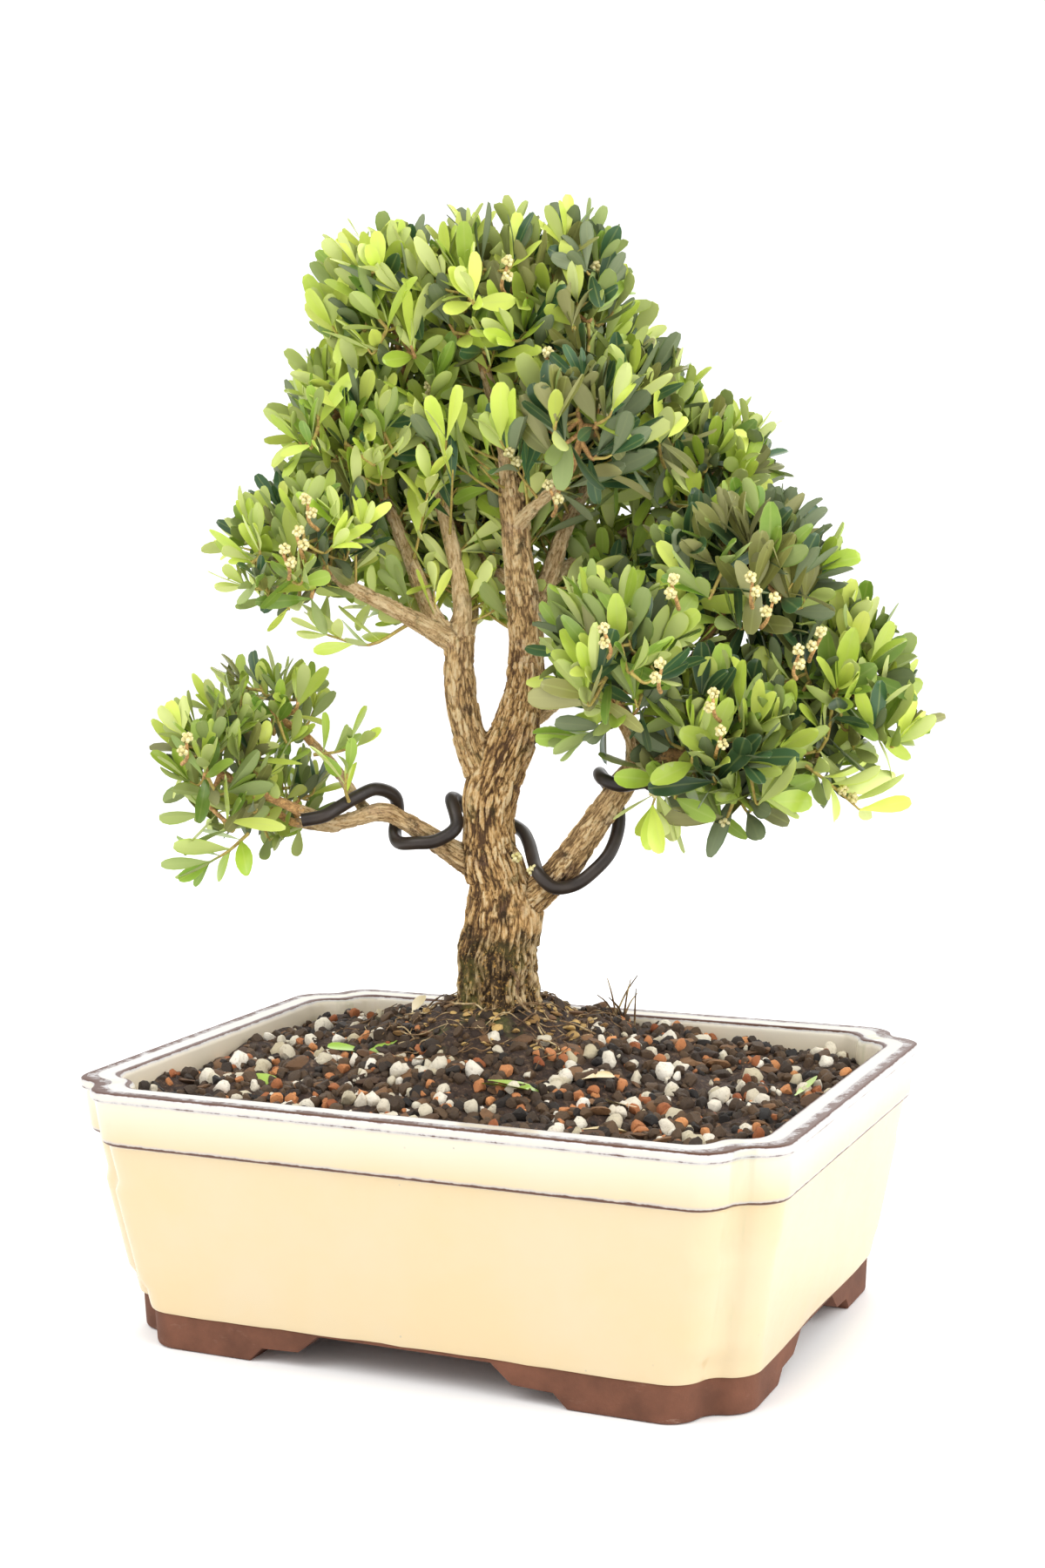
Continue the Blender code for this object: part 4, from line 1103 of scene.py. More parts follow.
# Stations are (across, back, up, radius).
TRUNK = (
    (0, 0, 0, 17.5), (0, 0, 5, 15.6), (0.2, 0, 18, 15.8), (2.6, 0, 32, 15.3), (2, 0, 44, 13.3),
    (-1.5, 0, 58, 10.6), (-2, 0, 70, 10.0), (-1, 0, 80, 10.8), (3, 0, 91, 10.2), (8, 1, 103, 9.2),
    (12, 3, 119, 8.1), (13, 4, 134, 6.8), (11.5, 3, 155, 6.0), (9.5, 1, 178, 5.8),
    (8, 0, 197, 5.0),
)
LEFT_BOUGH = (
    (-1, 0, 82, 6.6), (-8, 0, 99, 6.5), (-11.8, -1, 118, 6.2), (-12, -2, 139, 6.0),
)
LOW_RIGHT_BOUGH = (
    (5, 0, 34, 6.6), (22.5, -7, 49.5, 6.5), (38, -15, 71, 5.5), (53, -24, 92, 4.6),
    (64, -31, 96, 3.6),
)
LOW_LEFT_BOUGH = (
    (-2, 0, 50, 5.4), (-13, 0, 56, 5.0), (-31, -3, 69, 3.9), (-42, -5, 74, 3.7),
    (-58, -8, 71, 2.8), (-72, -10, 76, 2.3),
)
LIMBS = (
    Limb("trunk", TRUNK, 1),
    Limb("left_bough", LEFT_BOUGH),
    Limb("low_right_bough", LOW_RIGHT_BOUGH),
    Limb("low_left_bough", LOW_LEFT_BOUGH),
    Limb("left_low_limb",
         ((-12, -2, 135, 4.2), (-30, -6, 146, 3.4), (-50, -12, 157, 2.8), (-59, -14, 164, 2.2))),
    Limb("left_high_limb",
         ((-12, -2, 134, 4.0), (-22, 2, 147, 3.4), (-30, 6, 168, 3.0), (-39, 8, 190, 2.2))),
    Limb("left_top_limb",
         ((-12, -2, 136, 4.0), (-11, 3, 153, 3.4), (-18, 5, 188, 2.8), (-28, 3, 222, 2.0))),
    Limb("left_back_limb",
         ((-12, -2, 133, 4.0), (-8, 16, 150, 3.2), (-18, 38, 172, 2.6), (-28, 48, 184, 2.0))),
    Limb("top_limb",
         ((8, 0, 190, 3.6), (6, -4, 207, 3.2), (3, -5, 222, 2.8), (-1, -6, 236, 2.2))),
    Limb("top_right_limb",
         ((9, 0, 178, 3.4), (19, 8, 199, 2.8), (28, 10, 221, 2.4), (33, 8, 234, 1.9))),
    Limb("front_right_limb",
         ((9, 0, 178, 3.0), (16, -9, 185, 2.6), (25, -20, 193, 2.2), (29, -27, 198, 1.9))),
    Limb("right_high_limb",
         ((12, 3, 142, 4.0), (21, 12, 158, 3.8), (30, 16, 182, 3.0), (46, 13, 206, 2.2))),
    Limb("right_far_limb",
         ((21, 12, 158, 3.0), (34, 27, 166, 2.8), (56, 34, 178, 2.4), (70, 34, 186, 2.0))),
    Limb("back_limb",
         ((11, 3, 156, 3.6), (11, 22, 170, 3.0), (15, 40, 188, 2.4), (19, 48, 200, 2.0))),
    Limb("back_top_limb",
         ((9, 1, 182, 3.2), (6, 16, 200, 2.6), (3, 31, 220, 2.2), (2, 37, 231, 1.8))),
    Limb("centre_limb",
         ((11, 3, 155, 3.0), (4, 9, 161, 2.5), (-2, 17, 166, 2.2), (-5, 22, 170, 1.9))),
    Limb("right_side_limb",
         ((10, 2, 106, 4.4), (20, 9, 111, 3.8), (31, 19, 121, 3.0), (39, 28, 135, 2.2))),
    Limb("right_inner_limb",
         ((52, -23, 91, 3.4), (50, -31, 102, 2.8), (46, -36, 110, 2.4), (43, -39, 116, 2.0))),
    Limb("right_upper_limb",
         ((53, -24, 92, 3.4), (61, -27, 106, 3.0), (72, -25, 128, 2.5), (78, -24, 138, 2.0))),
    Limb("right_outer_limb",
         ((55, -24, 93, 3.4), (70, -20, 103, 3.0), (88, -16, 110, 2.5), (102, -15, 113, 2.0))),
    Limb("low_left_upper_limb",
         ((-46, -6, 73, 2.6), (-53, 4, 80, 2.4), (-60, 5, 91, 2.2), (-69, 3, 101, 1.8))),
    Limb("low_left_lower_limb",
         ((-53, -7, 72, 2.5), (-60, 2, 68, 2.2), (-69, 7, 68, 2.0), (-75, 9, 69, 1.8))),
)

# Each mass: name, limb, middle, half size, seed, how many of each kind of leaf it has from the
# youngest kind to the oldest, the share of its outer shoots that carry buds, and the size of
# its leaves and the number of its fine shoots beside the usual.
MASSES = (
    Mass("leaves_left_low", "left_low_limb", (-67, -10, 170), (37, 46, 33), 11,
         (4, 5, 3, 3, 1), budded=0.25, scale=0.82, fullness=1.1),
    Mass("leaves_left_high", "left_high_limb", (-50, 4, 215), (36, 46, 36), 12,
         (7, 6, 3, 1, 0), budded=0.1, scale=0.9, fullness=0.9),
    Mass("leaves_top_left", "left_top_limb", (-34, 0, 255), (34, 44, 37), 13,
         (9, 6, 2, 1, 0), fullness=0.88),
    Mass("leaves_top", "top_limb", (0, -8, 260), (34, 44, 36), 14,
         (7, 6, 2, 2, 1), budded=0.15),
    Mass("leaves_top_right", "top_right_limb", (29, 0, 256), (28, 42, 41), 15,
         (2, 3, 3, 4, 2), budded=0.25),
    Mass("leaves_centre", "centre_limb", (-13, 30, 180), (38, 27, 44), 16,
         (1, 3, 6, 4, 1)),
    Mass("leaves_front_right", "front_right_limb", (33, -36, 212), (27, 28, 28), 37,
         (1, 2, 3, 6, 3), budded=0.5, scale=1.18, fullness=0.95),
    Mass("leaves_right_high", "right_high_limb", (51, 6, 216), (34, 46, 35), 18,
         (2, 3, 3, 4, 2), budded=0.2),
    Mass("leaves_right_far", "right_far_limb", (81, 30, 196), (36, 44, 34), 19,
         (4, 4, 3, 3, 1)),
    Mass("leaves_right_side", "right_side_limb", (50, 36, 152), (36, 34, 32), 20,
         (3, 5, 4, 3, 0)),
    Mass("leaves_back_left", "left_back_limb", (-44, 60, 200), (40, 40, 45), 41,
         (3, 4, 4, 3, 0)),
    Mass("leaves_back_right", "back_limb", (32, 66, 216), (40, 38, 40), 22,
         (3, 4, 4, 3, 1), budded=0.1),
    Mass("leaves_back_top", "back_top_limb", (0, 46, 252), (38, 36, 36), 23,
         (4, 4, 4, 2, 0)),
    Mass("leaves_front_upper", "right_upper_limb", (91, -24, 158), (42, 44, 34), 24,
         (1, 2, 3, 6, 3), budded=0.55, scale=1.2, fullness=0.9),
    Mass("leaves_front_outer", "right_outer_limb", (122, -14, 115), (41, 44, 42), 25,
         (6, 4, 2, 3, 1), budded=0.25, scale=1.12, fullness=0.9),
    Mass("leaves_front_inner", "right_inner_limb", (46, -44, 131), (36, 36, 34), 26,
         (4, 5, 3, 3, 1), budded=0.25, scale=1.12, fullness=0.9),
    Mass("leaves_front_low", "low_right_bough", (82, -34, 98), (38, 42, 38), 27,
         (3, 5, 3, 4, 1), budded=0.35, scale=1.2, fullness=0.8),
    Mass("leaves_low_left_upper", "low_left_upper_limb", (-83, 2, 110), (36, 38, 27), 28,
         (2, 4, 5, 3, 1), scale=0.76, fullness=0.32),
    Mass("leaves_low_left_outer", "low_left_bough", (-98, -14, 89), (31, 36, 35), 29,
         (3, 5, 4, 2, 1), budded=0.12, scale=0.96, fullness=0.36),
    Mass("leaves_low_left_back", "low_left_lower_limb", (-83, 16, 75), (34, 30, 25), 30,
         (3, 4, 5, 2, 0), scale=0.78, fullness=0.34),
)


def tree_matrix():
    """From the tree's own frame, in millimetres, to the object's, in metres."""
    return (Matrix.Translation(TREE_FOOT + POT_MIDDLE) @ Matrix.Rotation(TREE_TURN, 4, "Z")
            @ Matrix.Scale(MM, 4))


TREE_PLACE = np.array(tree_matrix())


def to_row(points):
    """From the tree's frame to the object's."""
    return points @ TREE_PLACE[:3, :3].T + TREE_PLACE[:3, 3]


def steady_sides(ahead):
    """A direction square to each step of a route, so that they don't twist about it."""
    sides = [across_of(ahead[0], np.array([0.31, 0.24, 0.92]))]
    for axis in ahead:
        sides.append(across_of(axis, sides[-1]))
    return np.array(sides[1:])


def tube_mesh(points, radii, sides):
    """Points and faces of a closed tube along a route, without twist."""
    ahead = units(np.vstack([points[1] - points[0], points[2:] - points[:-2],
                             points[-1] - points[-2]]))
    angles = np.arange(sides) * FULL_TURN / sides
    rings = []
    for place, axis, first, radius in zip(points, ahead, steady_sides(ahead), radii):
        second = np.cross(axis, first)
        rings.append(place + radius * (np.cos(angles)[:, None] * first
                                       + np.sin(angles)[:, None] * second))
    made = np.vstack([*rings, points[[0, -1]]])
    faces = ring_faces(len(rings), sides)
    base, tip = len(made) - 2, len(made) - 1
    last = (len(rings) - 1) * sides
    for i in range(sides):
        j = (i + 1) % sides
        faces.append((base, j, i))
        faces.append((tip, last + i, last + j))
    return made, faces


def twig_shape(route, start_radius, tip_radius, sides=TWIG_SIDES):
    """A twig that tapers evenly."""
    return tube_mesh(route, np.linspace(start_radius, tip_radius, len(route)), sides)


def joined(name, shapes):
    """One object from many (points, faces) shapes in the tree's frame."""
    points, faces = merged(shapes)
    return new_piece(name, to_row(points), faces)


# ---------------------------------------------------------------- bark


FIRST_BOUGHS = ("trunk", "left_bough", "low_right_bough", "low_left_bough")
TRUNK_VOXEL = 0.52
LIMB_VOXEL = 0.62
TRUNK_SIDES = 40
LIMB_SIDES = 20
ROUTE_STEPS = 14
COLLAR_REACH = 3.2  # how far a collar reaches, in radii of the limb
COLLAR_SWELL = 0.22
DAMP_HEIGHT = 44  # the damp on the trunk ends this high up
PLATE_STRETCH = 4.6  # how many times longer a ridge of bark is than it is wide


def fine_limb(limb, steps=ROUTE_STEPS):
    """The limb's own stations with a finer route, and a collar where it leaves its bearer."""
    smooth = smooth_route(limb.stations, steps)
    points, radii = smooth[:, :3], smooth[:, 3].copy()
    run = np.concatenate([[0], np.cumsum(np.linalg.norm(np.diff(points, axis=0), axis=1))])
    if limb.name != "trunk":
        collar = np.clip(1 - run / (COLLAR_REACH * radii[0]), 0, 1)
        radii *= 1 + COLLAR_SWELL * collar**1.5
    radii *= 0.95 + 0.16 * (clouds(points / 9.0 + 7, 2, len(limb.name)) - 0.35)
    return points, radii, run


def limb_shapes(names):
    shapes = []
    for limb in LIMBS:
        if limb.name not in names:
            continue
        points, radii, _ = fine_limb(limb)
        is_trunk = limb.name == "trunk"
        made, faces = tube_mesh(points, radii, TRUNK_SIDES if is_trunk else LIMB_SIDES)
        if is_trunk:
            fade = np.clip(1 - made[:, 2] / FLARE_HEIGHT, 0, None)
            angle = np.arctan2(made[:, 1], made[:, 0])
            swell = 1 + FLARE_DEPTH * fade * np.cos(FLARE_LOBES * angle + 0.8)
            made[:, :2] *= swell[:, None]
        shapes.append((made, faces))
    return shapes


def limb_places(points, names):
    """For each point in the tree's frame: radius of the nearest limb, and where it lies
    along and round that limb, in millimetres."""
    best = np.full(len(points), 1e9)
    girth = np.zeros(len(points))
    pattern = np.zeros((len(points), 3))
    for number, limb in enumerate(limb for limb in LIMBS if limb.name in names):
        route, radii, run = fine_limb(limb, 6)
        ahead = units(np.gradient(route, axis=0))
        firsts = steady_sides(ahead)
        seconds = np.cross(ahead, firsts)
        gaps = points[:, None, :] - route[None, :, :]
        away = np.linalg.norm(gaps, axis=2) - radii[None, :]
        nearest = away.argmin(axis=1)
        gap = points - route[nearest]
        closeness = away[np.arange(len(points)), nearest]
        along = run[nearest] + np.sum(gap * ahead[nearest], axis=1)
        out = units(gap - np.sum(gap * ahead[nearest], axis=1)[:, None] * ahead[nearest])
        radius = radii[nearest]
        closer = closeness < best
        cell = plate_width(radius)
        spot = np.stack([
            np.sum(out * firsts[nearest], axis=1) * radius / cell,
            np.sum(out * seconds[nearest], axis=1) * radius / cell,
            along / (cell * PLATE_STRETCH) + 31.0 * number,
        ], axis=1)
        best = np.where(closer, closeness, best)
        girth = np.where(closer, radius, girth)
        pattern = np.where(closer[:, None], spot, pattern)
    return girth, pattern


def plate_width(radius):
    """Width of a ridge of bark on a limb of this radius, in mm."""
    return 1.5 + 0.075 * radius


def bark_relief(pattern, seed):
    """Height of the bark, 0 in the furrows to 1 on the highest flakes."""
    wander = np.stack([clouds(pattern * 0.8 + 5 * i, 2, seed + i) for i in range(3)], axis=1) - 0.5
    border, name = plates(pattern + wander * 1.3, seed)
    plate = smooth_step(border, 0.0, 0.26)
    grain = clouds(pattern * np.array([2.4, 2.4, 1.6]), 3, seed + 90)
    broad = clouds(pattern * 0.35, 2, seed + 40)
    return np.clip(0.20 + plate * (0.22 + 0.46 * name) + 0.60 * (grain - 0.5)
                   + 0.8 * (broad - 0.5), 0, 1)


def corky_bark(settings):
    """Dry corky bark: pale ridged flakes over dark furrows, stained and mossy at the foot."""
    paint = Paint("corky_boxwood_bark")
    ridges = paint.attribute("bark_place", "Vector")
    stray = paint.pattern(ridges, 1.7, 3.0, 0.6).outputs["Color"]
    ridges = paint.node("ShaderNodeMix", {6: ridges, 7: stray}, {0: 0.42}, data_type="RGBA",
                        blend_type="ADD").outputs[2]
    crack = paint.node("ShaderNodeTexVoronoi", {"Vector": ridges}, {"Scale": 1.55},
                       feature="DISTANCE_TO_EDGE").outputs["Distance"]
    fibres = paint.pattern(ridges, 3.6, 5.0, 0.7).outputs["Fac"]
    speck = paint.noise(1.3, 4, 0.7)
    patch = paint.noise(11, 4, 0.6)
    stain = paint.noise(7, 5, 0.7)
    height = paint.plus(paint.times(paint.attribute("relief"), 0.72),
                        paint.times(paint.span(crack, 0.0, 0.20), 0.20))
    height = paint.plus(height, paint.sway(fibres, 0.95))
    height = paint.plus(height, paint.sway(speck, 0.35))
    thick = paint.ramp(height, (0.22, settings.furrow), (0.38, settings.shade),
                       (0.52, settings.ridge), (0.78, settings.flake))
    slim = paint.ramp(height, (0.08, settings.shade), (0.30, settings.slim),
                      (0.72, settings.flake))
    body = paint.over(slim, thick, paint.span(paint.attribute("girth"), 2.5, 7.0))
    body = paint.over(body, settings.mauve, paint.span(patch, 0.56, 0.68), 0.40)
    body = paint.over(body, settings.olive, paint.span(stain, 0.56, 0.68), 0.42)
    # The foot is stained by damp, and moss and ochre flakes keep to it.
    low = paint.attribute("low")
    wet = paint.plus(low, paint.sway(paint.plus(patch, stain), 1.9, 1.0))
    dark = paint.times(paint.span(wet, 0.10, 0.46), paint.span(height, 0.92, 0.42))
    body = paint.over(body, settings.wet, dark, 0.95)
    moss = paint.times(paint.span(low, 0.25, 0.75), paint.span(patch, 0.50, 0.60))
    body = paint.over(body, settings.moss, moss, 0.34)
    ochre = paint.times(paint.span(low, 0.2, 0.6), paint.span(speck, 0.56, 0.64))
    body = paint.over(body, settings.ochre, ochre, 0.8)
    return paint.surface(body, normal=paint.bump(height, 1.1, 1.0), Roughness=0.92)


class BonsaiBarkSettings(PropertyGroup):
    """Relief and colours of the bark."""

    relief_mm: FloatProperty(name="Relief", default=1.9, min=0.0, max=3.0,
                             description="Depth of the furrows on the trunk, in mm")
    furrow: tint("Furrow", "Bottom of the furrows", "#5c4128")
    shade: tint("Shade", "Sides of the flakes", "#a67f4c")
    ridge: tint("Ridge", "Face of the flakes", "#d8ad70")
    flake: tint("Flake", "Pale raised flakes", "#f3d8a8")
    slim: tint("Slim limbs", "Bark of the thinner limbs", "#d9b581")
    mauve: tint("Mauve", "Pinkish older patches", "#c79b80")
    olive: tint("Olive", "Greenish patches", "#b4a465")
    wet: tint("Wet", "Damp stained foot of the trunk", "#35250f")
    moss: tint("Moss", "Moss at the foot of the trunk", "#8c8a44")
    ochre: tint("Ochre", "Ochre flakes at the foot", "#cf9f52")


def bark_piece(name, names, voxel_mm, relief_mm):
    """Limbs grown into one skin, with the relief of the bark pressed into it."""
    obj = joined(name, limb_shapes(names))
    modify(obj, "REMESH", mode="VOXEL", voxel_size=voxel_mm * MM)
    modify(obj, "SMOOTH", factor=0.5, iterations=3)
    row_points = points_of(obj)
    back = np.linalg.inv(TREE_PLACE)
    points = row_points @ back[:3, :3].T + back[:3, 3]
    girth, pattern = limb_places(points, names)
    relief = bark_relief(pattern, 3)
    depth = relief_mm * np.clip(0.22 + 0.075 * girth, 0, 1.15)
    flat_foot = smooth_step(points[:, 2], 0.2, 1.5)
    knobs = clouds(points / 8.0 + 30, 2, 12) - 0.5
    craggy = 4.2 * knobs * smooth_step(points[:, 2], 50, 20) * (girth > 8)
    shift = ((relief - 0.70) * depth + craggy) * flat_foot * MM
    normals = read_vectors(obj.data.vertex_normals, "vector")
    set_points(obj, row_points + normals * shift[:, None])
    put_attribute(obj, "relief", relief)
    put_attribute(obj, "bark_place", pattern)
    put_attribute(obj, "girth", girth)
    put_attribute(obj, "low", smooth_step(points[:, 2], DAMP_HEIGHT, 2))
    shade(obj)
    return obj


class BONSAI_OT_bark(Operator):
    """Grow the trunk and boughs together and press the bark's relief into them"""

    bl_idname = "bonsai.bark"
    bl_label = "Trunk and boughs"

    def execute(self, context):
        settings = context.scene.bonsai_bark
        material = corky_bark(settings)
        trunk = bark_piece("trunk_bark", FIRST_BOUGHS, TRUNK_VOXEL, settings.relief_mm)
        settle(trunk, material, FIRST_BOUGHS)
        others = tuple(limb.name for limb in LIMBS if limb.name not in FIRST_BOUGHS)
        limbs = bark_piece("limb_bark", others, LIMB_VOXEL, settings.relief_mm)
        settle(limbs, material, others)
        return {"FINISHED"}


# ---------------------------------------------------------------- training wire


def round_limb(limb, share, clock, slack):
    """Where the wire's middle lies on a limb: clock 0 faces the front and 90 is above."""
    point, heading, radius = limb.at(share)
    front = across_of(heading, np.array([0.0, -1.0, 0.0]))
    above = np.cross(heading, front)
    if above[2] < 0:
        above = -above
    turn = math.radians(clock)
    reach = radius + WIRE_RADIUS + slack
    return point + reach * (math.cos(turn) * front + math.sin(turn) * above)


def wire_route(steps):
    """From its cut end on the low left bough, behind the trunk, to the low right bough."""
    limbs = {limb.name: limb for limb in LIMBS}
    # Share of the bough's length, clock angle round it, and slack beyond touching it.
    left_turns = ((0.97, -25, 1.0), (0.88, 15, 1.0), (0.79, 50, 1.6), (0.70, 70, 2.4),
                  (0.60, 90, 2.6), (0.53, 125, 1.8), (0.48, 175, 1.0), (0.445, 230, 1.2),
                  (0.41, 280, 1.6), (0.36, 330, 0.9), (0.31, 370, 1.2), (0.28, 420, 4.2))
    right_turns = ((0.25, 78, 0.6), (0.24, 35, 0.8), (0.25, -5, 1.0), (0.29, -40, 1.2),
                   (0.35, -65, 1.6), (0.43, -90, 2.4),
                   (0.51, -125, 1.6), (0.57, -170, 0.8), (0.60, -215, 1.2),
                   (0.625, -260, 1.6), (0.645, -305, 1.4), (0.68, -350, 1.0),
                   (0.74, -390, 1.6), (0.81, -415, 2.4), (0.88, -435, 2.8))
    around_trunk = ((78, 175), (74, 132), (70, 105), (68, 70), (65, 35), (61, 5))
    knots = [round_limb(limbs["low_left_bough"], *turn) for turn in left_turns]
    for up, side in around_trunk:
        middle, radius = trunk_at(limbs["trunk"], up)
        reach = radius + WIRE_RADIUS + TRUNK_SLACK
        turn = math.radians(side)
        knots.append(middle + reach * np.array([math.cos(turn), math.sin(turn), 0]))
    knots += [round_limb(limbs["low_right_bough"], *turn) for turn in right_turns]
    return smooth_route(knots, steps)


def trunk_at(trunk, up):
    """The trunk's middle and radius at a height."""
    heights = trunk.points[:, 2]
    middle = [np.interp(up, heights, trunk.points[:, axis]) for axis in range(3)]
    return np.array(middle), np.interp(up, heights, trunk.radii)


def anodised_wire(settings):
    """Anodised aluminium wire: satin brown black, with faint drawing marks."""
    paint = Paint("brown_anodised_aluminium_wire")
    marks = paint.noise(0.8, 3, 0.6)
    body = paint.over(settings.wire_dark, settings.wire_light,
                      paint.span(paint.noise(9, 3, 0.5), 0.35, 0.65))
    return paint.surface(body, paint.span(marks, 0.3, 0.7, 0.34, 0.46),
                         paint.bump(marks, 0.05, 0.3), Metallic=0.25)


class BonsaiWireSettings(PropertyGroup):
    """Colours of the training wire."""

    wire_dark: tint("Dark wire", "Darker anodising", "#2a2320")
    wire_light: tint("Light wire", "Lighter anodising", "#3b322c")


class BONSAI_OT_wire(Operator):
    """Wind the training wire round the two low boughs"""

    bl_idname = "bonsai.wire"
    bl_label = "Training wire"

    def execute(self, context):
        route = wire_route(8)
        shape = twig_shape(route, WIRE_RADIUS, WIRE_RADIUS, WIRE_SIDES)
        wire = joined("training_wire_coat", [shape])
        tidy_normals(wire)
        shade(wire, 50)
        settle(wire, anodised_wire(context.scene.bonsai_wire), ("training_wire",))
        return {"FINISHED"}


# ---------------------------------------------------------------- foliage


LEAF_LENGTH = 20.5
LEAF_WIDTH = 6.1
LEAF_THICKNESS = 0.35
TIP_LEAF_SIZE = 0.72
SHORTER_LEAVES = (1.0, 0.9, 0.8, 0.68)  # lengths tried until a leaf fits
FALLEN_SHARE = 0.05
PAIR_SPACING = 4.5
LEAFY_REACH = 24.0  # only this much of a shoot, back from its tip, bears leaves
MAIN_SHOOTS = 7
FINE_SHOOTS = 84
LIMB_SHOOT_SPACING = 3.8  # between the short shoots straight from a limb inside the crown
LIMB_SHOOTS_FROM = 150.0  # they grow only this high up and higher
FRONT_SHOOTS_FROM = 192.0  # and in front of their limb only from here
LIMB_SHOOT_REACH = (11.0, 30.0)
CROWN_INFILL = 9.0  # how far outside the masses those shoots' leaves may stand
SHORTEST_SHOOT = 7.0
# Radius of a twig where it starts and at its tip.
MAIN_TWIG = (1.05, 0.5)
FINE_TWIG = (0.72, 0.36)
STRAY_TWIG = (0.72, 0.40)
LIMB_TWIG = (0.62, 0.34)
TWIG_CLEARANCE = 0.3
BORDER_OVERLAP = 7.0  # how far a mass's leaves may mix with its neighbour's
TIP_OVERREACH = 3.5  # how far the last leaves of a shoot may stand out of their mass
LEAF_STAND_OUT = 3 * MM  # how far a leaf may stand out of the solids' box
LEAF_APART = 2.0  # between the middles of two leaves' outer halves
# Length along a leaf, and half its width there if it is oval and if it is spoon shaped.
LEAF_OUTLINE = ((0.0, 0.14, 0.13), (0.08, 0.17, 0.15), (0.22, 0.52, 0.36), (0.40, 0.86, 0.66),
                (0.58, 1.0, 0.90), (0.75, 0.90, 1.0), (0.90, 0.58, 0.82), (0.98, 0.24, 0.42))
LEAF_TIP = 0.985
# What the leaves of each kind shade into and what they are like below, youngest first.
LEAF_KINDS = {
    "young": ("#e4ed72", "#d6df94"),
    "fresh": ("#cbdb5b", "#bfcb7c"),
    "green": ("#a8c34e", "#a9b672"),
    "old": ("#436741", "#8d9671"),
    "bronze": ("#999751", "#aba872"),
}
# Single shoots that stray out of a mass: start, middle and end in the tree's frame.
STRAY_SHOOTS = {
    "leaves_left_low": (((-31, -3, 143), (-45, -6, 136), (-60, -8, 140)),),
    "leaves_front_inner": (((47, -42, 116), (42, -40, 108), (33, -38, 103)),),
    "leaves_front_outer": (((112, -34, 92), (121, -36, 85), (131, -36, 76)),),
    "leaves_front_low": (((64, -33, 94), (60, -37, 87), (57, -38, 79)),),
    "leaves_low_left_outer": (((-90, -14, 68), (-97, -16, 62), (-104, -17, 58)),),
    "leaves_low_left_upper": (((-53, -13.5, 79), (-54, -17, 84), (-53, -19, 90)),
                              ((-66, -8, 96), (-58, -10, 97), (-50, -11, 99)),),
}


class Space:
    """The room that a mass may fill: its ellipsoid, less its neighbours' and the limbs'."""

    def __init__(self, mass, wire):
        self.mass = mass
        self.walls = []
        for other in MASSES:
            if other is mass:
                continue
            away = other.middle - mass.middle
            far = np.linalg.norm(away)
            toward = away / far
            own = reach_along(mass, toward)
            theirs = reach_along(other, toward)
            if own + theirs < far:
                continue
            wall = far * own / (own + theirs)
            self.walls.append((toward, np.dot(mass.middle, toward) + wall + BORDER_OVERLAP))
        starts, ends, radii = [], [], []
        for points, sizes in [(limb.points, limb.radii) for limb in LIMBS] + [wire]:
            starts.append(points[:-1])
            ends.append(points[1:])
            radii.append(np.maximum(sizes[:-1], sizes[1:]))
        starts = np.vstack(starts)
        ends = np.vstack(ends)
        radii = np.concatenate(radii)
        near = np.linalg.norm((starts + ends) / 2 - mass.middle, axis=1) < mass.half.max() + 30
        self.starts = starts[near]
        self.runs = (ends - starts)[near]
        self.radii = radii[near]

    def holds(self, points, slack=0.0):
        outward = (points - self.mass.middle) / (self.mass.half + slack)
        if (np.sum(outward**2, axis=1) > 1).any():
            return False
        return all((points @ toward < limit + slack).all() for toward, limit in self.walls)

    def clears_limbs(self, points):
        if not len(self.starts):
            return True
        gaps = points[:, None, :] - self.starts[None, :, :]
        along = np.sum(gaps * self.runs, axis=2) / np.sum(self.runs**2, axis=1)
        nearest = gaps - np.clip(along, 0, 1)[:, :, None] * self.runs
        distance = np.linalg.norm(nearest, axis=2) - self.radii
        return bool((distance > TWIG_CLEARANCE).all())


def in_solids_box(points):
    """Whether places in the tree's frame, in mm, lie in the solids' box or hardly past it."""
    places = to_row(points)
    low, high = np.array(CAD_BOX)
    return bool((places > low - LEAF_STAND_OUT).all() and (places < high + LEAF_STAND_OUT).all())


def reach_along(mass, direction):
    """How far the mass's ellipsoid reaches from its middle in a direction."""
    return 1 / np.linalg.norm(direction / mass.half)


def spread_directions(count, chance):
    """Evenly spread directions, turned at random as a whole."""
    golden = math.pi * (3 - math.sqrt(5))
    turn = chance.uniform(0, FULL_TURN)
    tilt = Matrix.Rotation(chance.uniform(-0.5, 0.5), 3, "X")
    directions = []
    for i in range(count):
        up = 1 - 2 * (i + 0.5) / count
        flat = math.sqrt(1 - up * up)
        angle = turn + golden * i
        spot = Vector((flat * math.cos(angle), flat * math.sin(angle), up))
        directions.append(np.array(tilt @ spot))
    return directions


def point_on(route, share):
    place = share * (len(route) - 1)
    i = min(int(place), len(route) - 2)
    return route[i] + (place - i) * (route[i + 1] - route[i])


def grow_stem(mass, bearer):
    """From inside the limb's tip to just beyond the middle of the mass."""
    start = bearer.tip - bearer.heading * 2.0
    aim = mass.middle + 0.1 * (mass.middle - start)
    run = aim - start
    if np.linalg.norm(run) < 9 or np.dot(unit(run), bearer.heading) < 0.2:
        aim = start + bearer.heading * 9 + 0.4 * run
    first = start + bearer.heading * 5
    bend = (first + aim) / 2 + bearer.heading * 2
    return smooth_route((start, first, bend, aim), 4)


